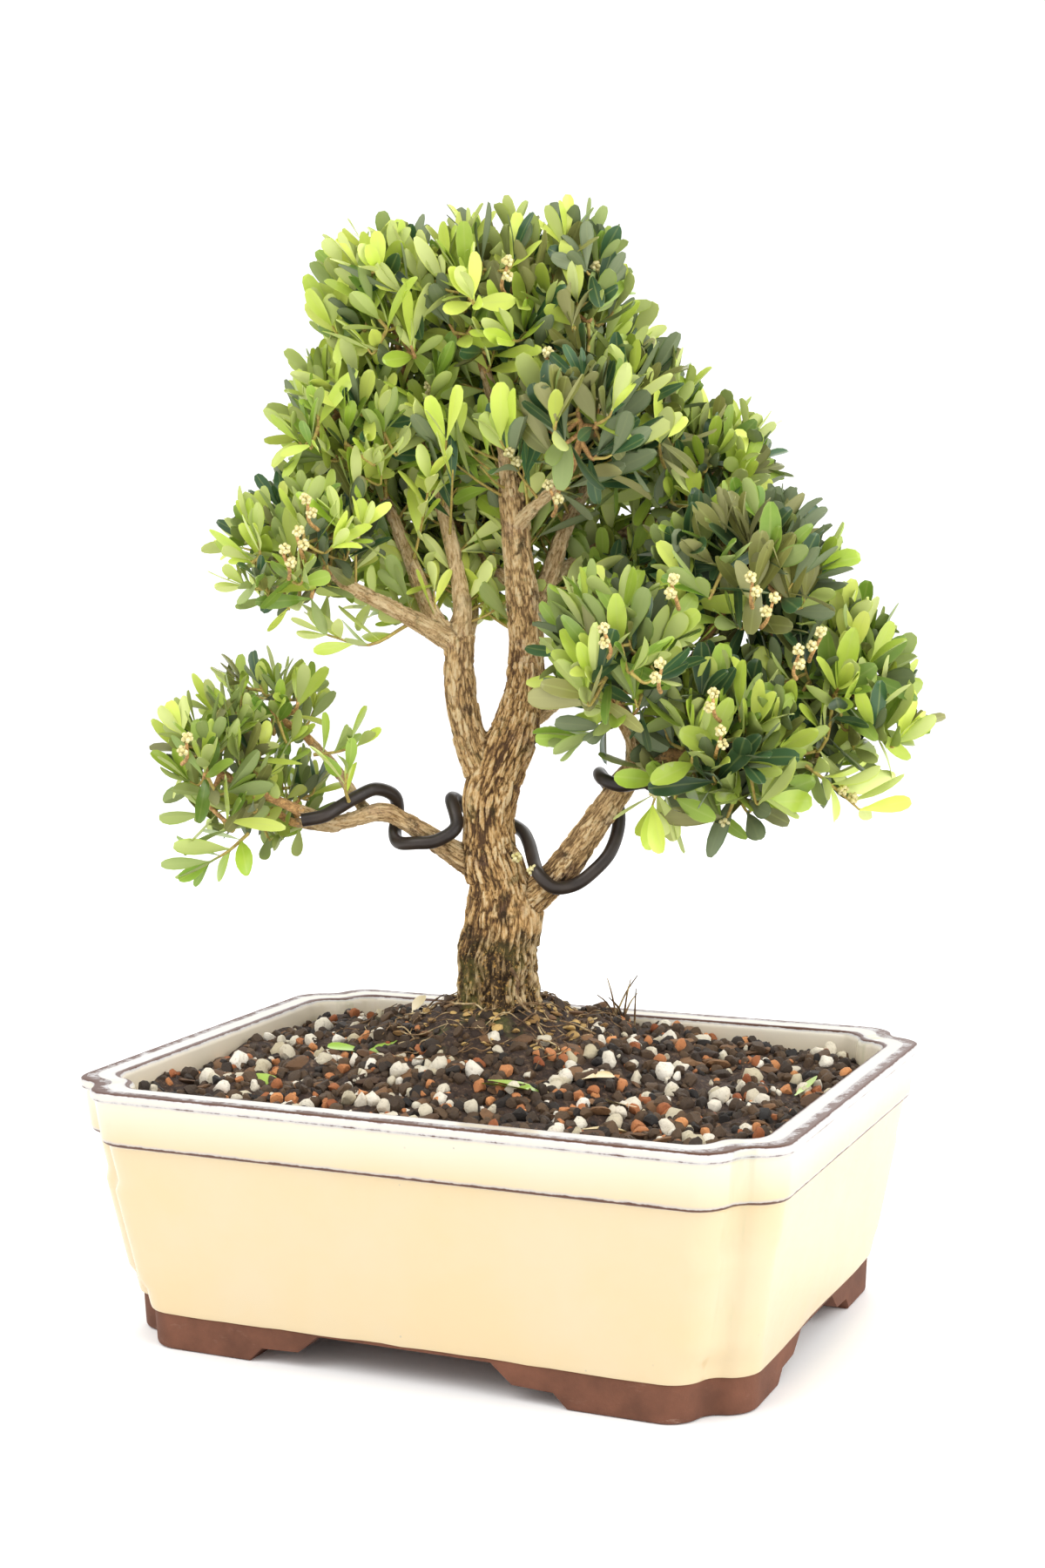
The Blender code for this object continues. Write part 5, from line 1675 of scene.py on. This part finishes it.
class Leaf:
    """One leaf: where it leaves its twig, how it is turned, its size and its bends."""

    def __init__(self, root, heading, normal, length, width, kind, chance):
        self.root = root
        self.heading = heading
        self.normal = normal
        self.length = length
        self.width = width
        self.kind = kind
        self.curl = chance.uniform(-0.30, 0.60)
        self.fold = chance.uniform(-0.06, 0.24)
        self.twist = chance.uniform(-0.6, 0.6)
        self.spoon = chance.random()
        self.outward = 1.0

    def marks(self):
        """Points along its outer half."""
        return np.array([self.root + self.heading * self.length * share
                         for share in (0.45, 0.70, 0.95)])


class Marks:
    """Points on all the leaves so far, filed by place, to keep new leaves clear of them."""

    def __init__(self):
        self.cells = {}

    def near(self, point):
        x, y, z = (int(math.floor(value / LEAF_APART)) for value in point)
        return [mark for i in (-1, 0, 1) for j in (-1, 0, 1) for k in (-1, 0, 1)
                for mark in self.cells.get((x + i, y + j, z + k), ())]

    def clear_of(self, points):
        for point in points:
            for x, y, z in self.near(point):
                if (x - point[0])**2 + (y - point[1])**2 + (z - point[2])**2 < LEAF_APART**2:
                    return False
        return True

    def add(self, points):
        for point in points:
            cell = tuple(int(math.floor(value / LEAF_APART)) for value in point)
            self.cells.setdefault(cell, []).append(tuple(point))


class Spray:
    """What one mass grows: its twigs, leaves and bud clusters."""

    def __init__(self, mass, wire, marks):
        self.mass = mass
        self.chance = random.Random(mass.seed)
        self.wire = wire
        self.space = Space(mass, wire)
        self.bearer = next(limb for limb in LIMBS if limb.name == mass.bearer)
        self.stem = grow_stem(mass, self.bearer)
        self.twigs = [(self.stem, np.linspace(self.bearer.radii[-1] * 0.97, 1.2, len(self.stem)))]
        self.forks = [point_on(self.stem, share) for share in (0.4, 0.55, 0.7, 0.85, 0.97)]
        self.leaves = []
        self.marks = marks
        self.buds = []

    def grow(self):
        """Main shoots first, then finer ones that each fork from the nearest twig."""
        back = unit(self.stem[0] - self.mass.middle)
        for direction in spread_directions(MAIN_SHOOTS, self.chance):
            if np.dot(direction, back) < 0.75:
                self.grow_shoot(direction, self.chance.uniform(0.7, 0.85), *MAIN_TWIG)
        goals = []
        for direction in spread_directions(int(FINE_SHOOTS * self.mass.fullness), self.chance):
            if np.dot(direction, back) < 0.90:
                goals.append((self.chance.random()**0.6, tuple(direction)))
        for depth, direction in sorted(goals):
            self.grow_shoot(np.array(direction), 0.35 + 0.65 * depth, *FINE_TWIG)
        for start, middle, end in STRAY_SHOOTS.get(self.mass.name, ()):
            route = smooth_route((start, middle, end), 4)
            self.twigs.append((route, np.linspace(*STRAY_TWIG, len(route))))
            self.space = Crown(self.mass, self.wire)
            self.grow_leaves(route, np.linalg.norm(route[-1] - route[0]))

    def end_of(self, direction, depth):
        """Where a shoot in this direction ends: full depth leaves room for a tip leaf."""
        mass = self.mass
        surface = reach_along(mass, direction)
        end = mass.middle + direction * depth * max(surface - 0.62 * LEAF_LENGTH, 0.4 * surface)
        for toward, limit in self.space.walls:
            beyond = np.dot(end, toward) - (limit - 0.22 * LEAF_LENGTH)
            if beyond > 0:
                end = end - toward * beyond
        return end

    def grow_shoot(self, direction, depth, base_radius, tip_radius):
        end = self.end_of(direction, depth) + self.stray(2.5)
        start = min(self.forks, key=lambda place: np.linalg.norm(place - end)
                    + 0.25 * np.linalg.norm(place - self.stem[-1]))
        if np.linalg.norm(end - start) > SHORTEST_SHOOT:
            self.bend_up(start, end, base_radius, tip_radius)

    def bend_up(self, start, end, base_radius, tip_radius):
        """A shoot that sags as it leaves its twig and then rises to its tip."""
        run = end - start
        length = np.linalg.norm(run)
        level = 1 - abs(run[2]) / length
        outward = self.chance.uniform(0.62, 0.86)
        rise = 0.45 if run[2] > 0 else 1.04
        middle = start + run * [outward, outward, rise] + self.stray(0.10 * length)
        middle[2] -= length * self.chance.uniform(0.10, 0.30) * level
        route = smooth_route((start, middle, end), 4)
        if not (self.space.holds(route[3:], 2.0) and self.space.clears_limbs(route[1:])):
            return
        self.twigs.append((route, np.linspace(base_radius, tip_radius, len(route))))
        self.forks += [point_on(route, share) for share in (0.35, 0.55, 0.75)]
        self.grow_leaves(route, length)

    def stray(self, size):
        return np.array([self.chance.uniform(-size, size) for _ in range(3)])

    def kind_near(self, youth):
        """A kind of leaf: the more youth, from 0 to 1, the younger it is likely to be."""
        weights = [count * (0.35 + 1.5 * youth) ** (1.2 - 0.6 * number)
                   for number, count in enumerate(self.mass.ages)]
        return self.chance.choices(range(len(weights)), weights)[0]

    def grow_leaves(self, route, length):
        """Opposite pairs, each square to the last, and a pair of small leaves at the tip."""
        turn = self.chance.uniform(0, math.pi)
        first_share = max(3.5, length - LEAFY_REACH) / length
        pairs = max(1, round(length * (1 - first_share) / PAIR_SPACING))
        outward = np.linalg.norm((route[-1] - self.mass.middle) / self.mass.half)
        kind = self.kind_near(max(0.0, outward - 0.32))
        tip_kind = self.kind_near(max(0.0, 1.35 * outward - 0.25))
        budded = outward > 0.6 and self.chance.random() < self.mass.budded
        for pair in range(pairs + 1):
            share = first_share + (1 - first_share) * pair / pairs
            at = point_on(route, share)
            axis = unit(point_on(route, min(1.0, share + 0.1)) - point_on(route, share - 0.1))
            spread = math.radians(60 - 34 * pair / pairs)
            first = across_of(axis, np.array([0.3, 0.2, 1.0]))
            second = np.cross(axis, first)
            size = 0.80 + 0.30 * math.sin(math.pi * (0.15 + 0.75 * pair / pairs))
            own = tip_kind if pair > 0.6 * pairs else kind
            for side in (0, math.pi):
                if self.chance.random() < FALLEN_SHARE:
                    continue
                angle = turn + side + pair * math.pi / 2 + self.chance.uniform(-0.35, 0.35)
                out = math.cos(angle) * first + math.sin(angle) * second
                heading = unit(math.cos(spread) * axis + math.sin(spread) * out
                               + [0, 0, 0.30] + self.stray(0.14))
                self.add_leaf(at, axis, heading, size, own, 0.0 if pair < pairs else TIP_OVERREACH)
            if budded and 0.4 * pairs < pair < pairs:
                above = across_of(axis, np.array([0.0, -0.6, 1.0]) + self.stray(0.5))
                if self.space.clears_limbs((at + above * 2.5)[None]):
                    self.buds.append((at, above))
        axis = unit(route[-1] - route[-2])
        across = across_of(axis, self.stray(1.0))
        for side in (1, -1):
            heading = unit(axis + side * across * self.chance.uniform(0.10, 0.30))
            self.add_leaf(route[-1], axis + side * across, heading, TIP_LEAF_SIZE, tip_kind,
                          TIP_OVERREACH)

    def add_leaf(self, at, face_hint, heading, size, kind, overreach):
        """A leaf in the first of a few directions and sizes in which it fits, or none."""
        length = LEAF_LENGTH * size * self.mass.scale * self.chance.uniform(0.76, 1.24)
        width = LEAF_WIDTH * size**0.5 * self.mass.scale * self.chance.uniform(0.80, 1.22)
        for shorter in SHORTER_LEAVES:
            normal = across_of(heading, face_hint + np.array([0.0, 0.0, 0.35]) + self.stray(0.8))
            leaf = Leaf(at, heading, normal, length * shorter, width * shorter**0.5, kind,
                        self.chance)
            side = np.cross(normal, heading) * width * 0.5
            widest = at + heading * leaf.length * 0.7
            marks = leaf.marks()
            rim = np.array([at + heading * leaf.length, widest + side, widest - side])
            if (self.space.holds(rim, overreach) and in_solids_box(rim)
                    and self.marks.clear_of(marks)
                    and self.space.clears_limbs(np.vstack([marks, rim[1:]]))):
                leaf.outward = np.linalg.norm((at - self.mass.middle) / self.mass.half)
                self.leaves.append(leaf)
                self.marks.add(marks)
                return
            heading = unit(heading + self.stray(0.38))


class Crown(Space):
    """The room inside the crown as a whole: near enough to any mass."""

    def holds(self, points, slack=0.0):
        near = np.zeros(len(points), bool)
        for mass in MASSES:
            outward = (points - mass.middle) / (mass.half + CROWN_INFILL)
            near |= np.sum(outward**2, axis=1) < 1
        return bool(near.all())


class LimbShoots(Spray):
    """Short leafy shoots straight from one limb, where it runs inside the crown."""

    def __init__(self, limb, mass, wire, marks):
        super().__init__(mass, wire, marks)
        self.chance = random.Random(limb.name)
        self.space = Crown(mass, wire)
        self.limb = limb
        self.twigs = []

    def grow(self):
        route = self.limb.points
        run = np.sum(np.linalg.norm(np.diff(route, axis=0), axis=1))
        count = int(run / LIMB_SHOOT_SPACING)
        for number in range(count):
            share = (number + self.chance.random()) / count
            point, heading, _ = self.limb.at(share)
            out = across_of(heading, self.stray(1.0) + np.array([0.0, 0.0, 0.4]))
            reach = self.chance.uniform(*LIMB_SHOOT_REACH)
            end = point + out * reach + heading * reach * 0.5 + np.array([0.0, 0.0, reach * 0.25])
            lowest = LIMB_SHOOTS_FROM if end[1] > point[1] + 3 else FRONT_SHOOTS_FROM
            if end[2] > lowest:
                self.bend_up(point, end, *LIMB_TWIG)

    def bend_up(self, start, end, base_radius, tip_radius):
        route = smooth_route((start, (start + end) / 2 - [0, 0, 1.5], end), 3)
        self.twigs.append((route, np.linspace(base_radius, tip_radius, len(route))))
        self.grow_leaves(route, np.linalg.norm(end - start))


def leaf_mesh(leaves):
    """Points and faces of many leaves, with how near each point is to its midrib and whether
    it is below. A blade is folded along the midrib, curls along its length and twists."""
    at, heading, normal, length, width, curl, fold, twist, spoon = (
        np.array([getattr(leaf, key) for leaf in leaves])
        for key in ("root", "heading", "normal", "length", "width", "curl", "fold", "twist",
                    "spoon"))
    curl = np.where(np.abs(curl) < 0.02, 0.02, curl)
    side = np.cross(normal, heading)
    rings, ribs, unders = [], [], []
    for share, oval, spooned in LEAF_OUTLINE:
        half = oval + (spooned - oval) * spoon
        bent = curl * share
        middle = (at + heading * (length * np.sin(bent) / curl)[:, None]
                  - normal * (length * (1 - np.cos(bent)) / curl)[:, None])
        above = normal * np.cos(bent)[:, None] + heading * np.sin(bent)[:, None]
        turn = (twist * share)[:, None]
        out = side * np.cos(turn) + above * np.sin(turn)
        up = above * np.cos(turn) - side * np.sin(turn)
        reach = out * (width * half / 2)[:, None]
        lift = up * (width * half * fold)[:, None]
        thick = up * (LEAF_THICKNESS * (0.5 + 0.5 * half) / 2)[:, None]
        rings += [middle + reach + lift, middle + thick, middle - reach + lift,
                  middle - thick * 1.6]
        ribs += [0, 1, 0, 1]
        unders += [0, 0, 0, 1]
    end = curl * LEAF_TIP
    rings.append(at + heading * (length * np.sin(end) / curl)[:, None]
                 - normal * (length * (1 - np.cos(end)) / curl)[:, None])
    ribs.append(0.5)
    unders.append(0.3)
    points = np.stack(rings, axis=1)
    per_leaf = points.shape[1]
    faces = [(0, 3, 2, 1), *ring_faces(len(LEAF_OUTLINE), 4)]
    last = 4 * (len(LEAF_OUTLINE) - 1)
    faces += [(last + i, last + (i + 1) % 4, per_leaf - 1) for i in range(4)]
    all_faces = [tuple(i + per_leaf * leaf for i in face)
                 for leaf in range(len(leaves)) for face in faces]
    return (points.reshape(-1, 3), all_faces, np.tile(ribs, len(leaves)),
            np.tile(unders, len(leaves)))


def leaf_piece(name, leaves):
    """Many leaves as one piece. Leaves that grow near each other are alike in tone."""
    points, faces, ribs, unders = leaf_mesh(leaves)
    obj = new_piece(name, to_row(points), faces)
    put_attribute(obj, "rib", ribs)
    put_attribute(obj, "under", unders)
    roots = np.array([leaf.root for leaf in leaves])
    by_spray = clouds(roots / 11.0 + 3, 2, len(name))
    own = np.random.default_rng(len(leaves)).random(len(leaves))
    tones = smooth_step(by_spray * 0.7 + own * 0.3, 0.25, 0.75)
    outward = smooth_step(np.array([leaf.outward for leaf in leaves]), 0.25, 0.85)
    per_leaf = len(points) // len(leaves)
    put_attribute(obj, "tone", np.repeat(tones, per_leaf))
    put_attribute(obj, "outward", np.repeat(outward, per_leaf))
    shade(obj, 50)
    return obj


def leathery_leaf(name, upper, paler, under, rib_colour):
    """Box leaf: leathery and satin above, duller and paler below, with a faint midrib, and painted
    shade on the leaves deep in the crown.
    """
    paint = Paint(name)
    body = paint.over(upper, paler, paint.attribute("tone"))
    body = paint.over(body, paler, paint.span(paint.noise(5, 3, 0.5), 0.35, 0.7, 0.0, 0.25))
    across = paint.attribute("rib")
    body = paint.over(body, rib_colour, paint.span(across, 0.84, 0.97, 0.0, 0.20))
    body = paint.over(body, rib_colour, paint.span(across, 0.0, 0.12, 0.30, 0.0))
    below = paint.span(paint.attribute("under"), 0.0, 0.22)
    body = paint.over(body, under, below, 0.8)
    # Painted shade: the further inside the crown a leaf stands, the more it is darkened towards a
    # dark green, standing in for the shade there.
    inner = paint.span(paint.attribute("outward"), 0.0, 1.0, 0.42, 0.0)
    body = paint.over(body, linear("#36452a"), inner)
    return paint.surface(body, paint.span(below, 0.0, 1.0, 0.30, 0.55), IOR=1.42)


def young_bark(name, colour, darker):
    """Smooth bark of thin twigs, with darker nodes and scars."""
    paint = Paint(name)
    scars = paint.noise(1.6, 4, 0.7)
    body = paint.over(linear(darker), colour, paint.span(scars, 0.40, 0.62))
    return paint.surface(body, normal=paint.bump(scars, 0.2, 0.6), Roughness=0.8)


class BonsaiLeafSettings(PropertyGroup):
    """Colours of the foliage, from the youngest leaves to the oldest."""

    young: tint("Young", "New yellow green leaves", "#c1da4e")
    fresh: tint("Fresh", "This year's leaves", "#a0bf3c")
    green: tint("Green", "Grown leaves", "#6f9431")
    old: tint("Old", "Old dark leaves", "#2f4b2b")
    bronze: tint("Bronze", "Weathered olive leaves", "#72743a")
    rib: tint("Midrib", "Light rib and margin of a leaf", "#cdd67c")
    bud: tint("Buds", "Cream flower buds", "#efe6b4")
    twig: tint("Twig", "Older twigs", "#d9aa6c")
    shoot: tint("Shoot", "Young green shoots", "#c1b35c")


# Ends of the budded sprigs that stand out in front of the crown, in the tree's frame.
BUD_SPRIGS = (
    (21, -36, 237), (25, -37, 229), (28, -38, 198), (22, -37, 191), (39, -40, 219),
    (-62, -52, 187), (-66, -53, 176), (-71, -52, 170), (90, -66, 158), (97, -65, 151),
    (114, -62, 139), (106, -64, 133), (76, -70, 119), (79, -68, 106), (58, -80, 130),
    (39, -81, 142), (62, -72, 158), (8, -40, 268), (-108, -40, 104))
BUDS_IN_CLUSTER = 9
BUD_RADII = (0.80, 1.10)
BUD_SPREAD = 1.45
BUD_STALK = 1.8
SPRIG_RUN = np.array([0.0, 13.0, -9.0])  # from the end of a sprig back to its start


def bud_sprigs():
    """A short bare twig for each sprig, with clusters of buds at its end and below it."""
    chance = random.Random(23)
    twigs, clusters = [], []
    for end in np.array(BUD_SPRIGS, float):
        start = end + SPRIG_RUN + [chance.uniform(-4, 4), 0, 0]
        bend = (start + end) / 2 + [chance.uniform(-2, 2), -2.0, -1.5]
        route = smooth_route((start, bend, end), 4)
        twigs.append(twig_shape(route, 0.8, 0.55))
        up = unit(np.array([chance.uniform(-0.5, 0.5), -0.3, 1.0]))
        clusters.append((end, up))
        aside = unit(np.array([chance.choice((-1, 1)), -0.7, 0.2]))
        clusters.append((point_on(route, 0.72), aside))
    return twigs, clusters


# Bud clusters straight from the trunk, beside the wire: place and direction.
TRUNK_BUDS = (((7.6, -11.2, 57.0), (0.35, -0.9, 0.25)), ((13.0, -12.5, 52.0), (0.6, -0.7, 0.4)))


def grow_all():
    wire = wire_route(2)
    wire = (wire, np.full(len(wire), WIRE_RADIUS))
    marks = Marks()
    sprays = [Spray(mass, wire, marks) for mass in MASSES]
    for limb in LIMBS:
        if limb.tip[2] > LIMB_SHOOTS_FROM:
            nearest = min(MASSES, key=lambda mass: np.linalg.norm(mass.middle - limb.tip))
            sprays.append(LimbShoots(limb, nearest, wire, marks))
    for spray in sprays:
        spray.grow()
    return sprays


class BONSAI_OT_foliage(Operator):
    """Grow the twigs, leaves and buds of every mass on from its limb"""

    bl_idname = "bonsai.foliage"
    bl_label = "Twigs, leaves and buds"

    def execute(self, context):
        settings = context.scene.bonsai_leaf
        sprays = grow_all()
        names = tuple(mass.name for mass in MASSES)

        stems, shoots = [], []
        for spray in sprays:
            for route, radii in spray.twigs:
                shape = tube_mesh(route, radii, TWIG_SIDES)
                (stems if radii[0] > OLD_TWIG_RADIUS else shoots).append(shape)
        sprig_twigs, sprig_clusters = bud_sprigs()
        stems += sprig_twigs
        for name, shapes, skin_name, colour, darker in (
                ("old_twigs", stems, "boxwood_twig_bark", settings.twig, "#987145"),
                ("green_shoots", shoots, "green_shoot_bark", settings.shoot, "#a6884c")):
            twigs = joined(name, shapes)
            shade(twigs, 60)
            settle(twigs, young_bark(skin_name, colour, darker), names)

        for number, (kind, (paler, under)) in enumerate(LEAF_KINDS.items()):
            chosen = [leaf for spray in sprays for leaf in spray.leaves if leaf.kind == number]
            obj = leaf_piece("leaves_" + kind, chosen)
            material = leathery_leaf(kind + "_box_leaf", getattr(settings, kind), linear(paler),
                                     linear(under), settings.rib)
            settle(obj, material, names)

        clusters = sprig_clusters + [bud for spray in sprays for bud in spray.buds]
        clusters += [(np.array(at), unit(np.array(above))) for at, above in TRUNK_BUDS]
        obj = bud_clusters(clusters)
        shade(obj, 50)
        settle(obj, young_bark("cream_flower_bud", settings.bud, "#cdc07a"),
               names)
        return {"FINISHED"}


def bud_clusters(clusters):
    """Tight clusters of small round buds in the leaf axils."""
    points, faces = small_ball(1)
    chance = random.Random(9)
    shapes = []
    for at, above in clusters:
        middle = at + above * BUD_STALK
        for direction in spread_directions(BUDS_IN_CLUSTER, chance):
            radius = chance.uniform(*BUD_RADII)
            centre = middle + direction * BUD_SPREAD
            shapes.append((points * radius + centre, faces))
    return joined("flower_buds", shapes)


# ---------------------------------------------------------------- stage


class BonsaiStageSettings(PropertyGroup):
    """Floor, light and camera."""

    floor: tint("Floor", "Plain pale floor", "#fbfbfa")
    sky: FloatProperty(name="Sky", description="Strength of the even light", default=1.15)
    key: FloatProperty(name="Key light", description="Power of the main light", default=14.0,
                       subtype="POWER", unit="POWER")
    lens: FloatProperty(name="Lens", description="Focal length", default=52.12,
                        subtype="DISTANCE_CAMERA")


# Each light: name, place, aim, size and share of the main light's power.
LIGHTS = (("key", (-0.6, -1.1, 1.6), (0, 0, 0.2), 1.4, 1.0),
          ("fill", (1.4, -0.3, 0.9), (0, 0, 0.2), 1.2, 0.9),
          ("back", (-0.3, 1.3, 1.2), (0, 0, 0.25), 1.2, 0.6))
FLOOR_SIZE = 8.0
FLOOR_Z_GAP = 0.2 * MM  # the floor lies this far below the pot's feet
CAMERA_PLACE = Vector((0.33744, -0.72770, 0.27306))
CAMERA_RIGHT = Vector((0.91115, 0.41183, -0.01411))
CAMERA_UP = Vector((-0.02950, 0.09933, 0.99462))
CAMERA_AHEAD = Vector((-0.41102, 0.90583, -0.10266))


def area_light(name, place, aim, size, power):
    light = bpy.data.lights.new(name, "AREA")
    light.shape = "DISK"
    light.size = size
    light.energy = power
    obj = bpy.data.objects.new(name, light)
    obj.location = place
    obj.rotation_euler = (Vector(aim) - Vector(place)).to_track_quat("-Z", "Y").to_euler()
    bpy.context.scene.collection.objects.link(obj)


class BONSAI_OT_stage(Operator):
    """Lay the floor and set up the light and the camera"""

    bl_idname = "bonsai.stage"
    bl_label = "Stage"

    def execute(self, context):
        settings = context.scene.bonsai_stage
        bpy.ops.object.select_all(action="DESELECT")
        bpy.ops.mesh.primitive_plane_add(size=FLOOR_SIZE, location=(0, 0, -FLOOR_Z_GAP))
        floor = context.active_object
        floor.name = "floor"
        floor.data.transform(floor.matrix_world)
        floor.matrix_world = Matrix.Identity(4)
        floor.data.materials.append(Paint("matt_white_paper").surface(
            Base_Color=rgba(settings.floor), Roughness=0.9))

        world = bpy.data.worlds.new("even_light")
        context.scene.world = world
        world.use_nodes = True
        world.node_tree.nodes["Background"].inputs["Color"].default_value = (1, 1, 1, 1)
        world.node_tree.nodes["Background"].inputs["Strength"].default_value = settings.sky

        for name, place, aim, size, share in LIGHTS:
            area_light(name, place, aim, size, settings.key * share)

        camera = bpy.data.cameras.new("camera")
        camera.sensor_fit = "VERTICAL"
        camera.sensor_height = 36.0
        camera.lens = settings.lens
        camera.clip_start = 0.01
        eye = bpy.data.objects.new("camera", camera)
        turn = Matrix((CAMERA_RIGHT, CAMERA_UP, -CAMERA_AHEAD)).transposed().to_4x4()
        eye.matrix_world = Matrix.Translation(CAMERA_PLACE + POT_MIDDLE) @ turn
        context.scene.collection.objects.link(eye)
        context.scene.camera = eye
        context.scene.view_settings.view_transform = "Standard"
        return {"FINISHED"}


# ---------------------------------------------------------------- add-on


class BONSAI_PT_sidebar(Panel):
    """Lists the pieces of the bonsai"""

    bl_idname = "BONSAI_PT_sidebar"
    bl_label = "Bonsai"
    bl_space_type = "VIEW_3D"
    bl_region_type = "UI"
    bl_category = "Bonsai"

    def draw(self, context):
        for operator in PIECES:
            self.layout.operator(operator.bl_idname)
        for name in SETTINGS:
            group = getattr(context.scene, name)
            box = self.layout.box()
            box.label(text=group.__doc__)
            for key in group.__annotations__:
                box.prop(group, key)


SETTINGS = {
    "bonsai_pot": BonsaiPotSettings,
    "bonsai_soil": BonsaiSoilSettings,
    "bonsai_bark": BonsaiBarkSettings,
    "bonsai_wire": BonsaiWireSettings,
    "bonsai_leaf": BonsaiLeafSettings,
    "bonsai_stage": BonsaiStageSettings,
}
PIECES = (BONSAI_OT_pot, BONSAI_OT_soil, BONSAI_OT_grit, BONSAI_OT_litter, BONSAI_OT_bark,
          BONSAI_OT_wire, BONSAI_OT_foliage, BONSAI_OT_stage)


def register():
    for group in SETTINGS.values():
        bpy.utils.register_class(group)
    for name, group in SETTINGS.items():
        setattr(bpy.types.Scene, name, PointerProperty(type=group))
    for operator in PIECES:
        bpy.utils.register_class(operator)
    bpy.utils.register_class(BONSAI_PT_sidebar)


def unregister():
    bpy.utils.unregister_class(BONSAI_PT_sidebar)
    for operator in reversed(PIECES):
        bpy.utils.unregister_class(operator)
    for name, group in reversed(SETTINGS.items()):
        delattr(bpy.types.Scene, name)
        bpy.utils.unregister_class(group)


def run_piece(operator):
    group, name = operator.bl_idname.split(".")
    if getattr(getattr(bpy.ops, group), name)() != {"FINISHED"}:
        raise RuntimeError(operator.bl_label + " wasn't finished")


def main():
    register()
    for operator in PIECES:
        run_piece(operator)


if __name__ == "__main__":
    main()
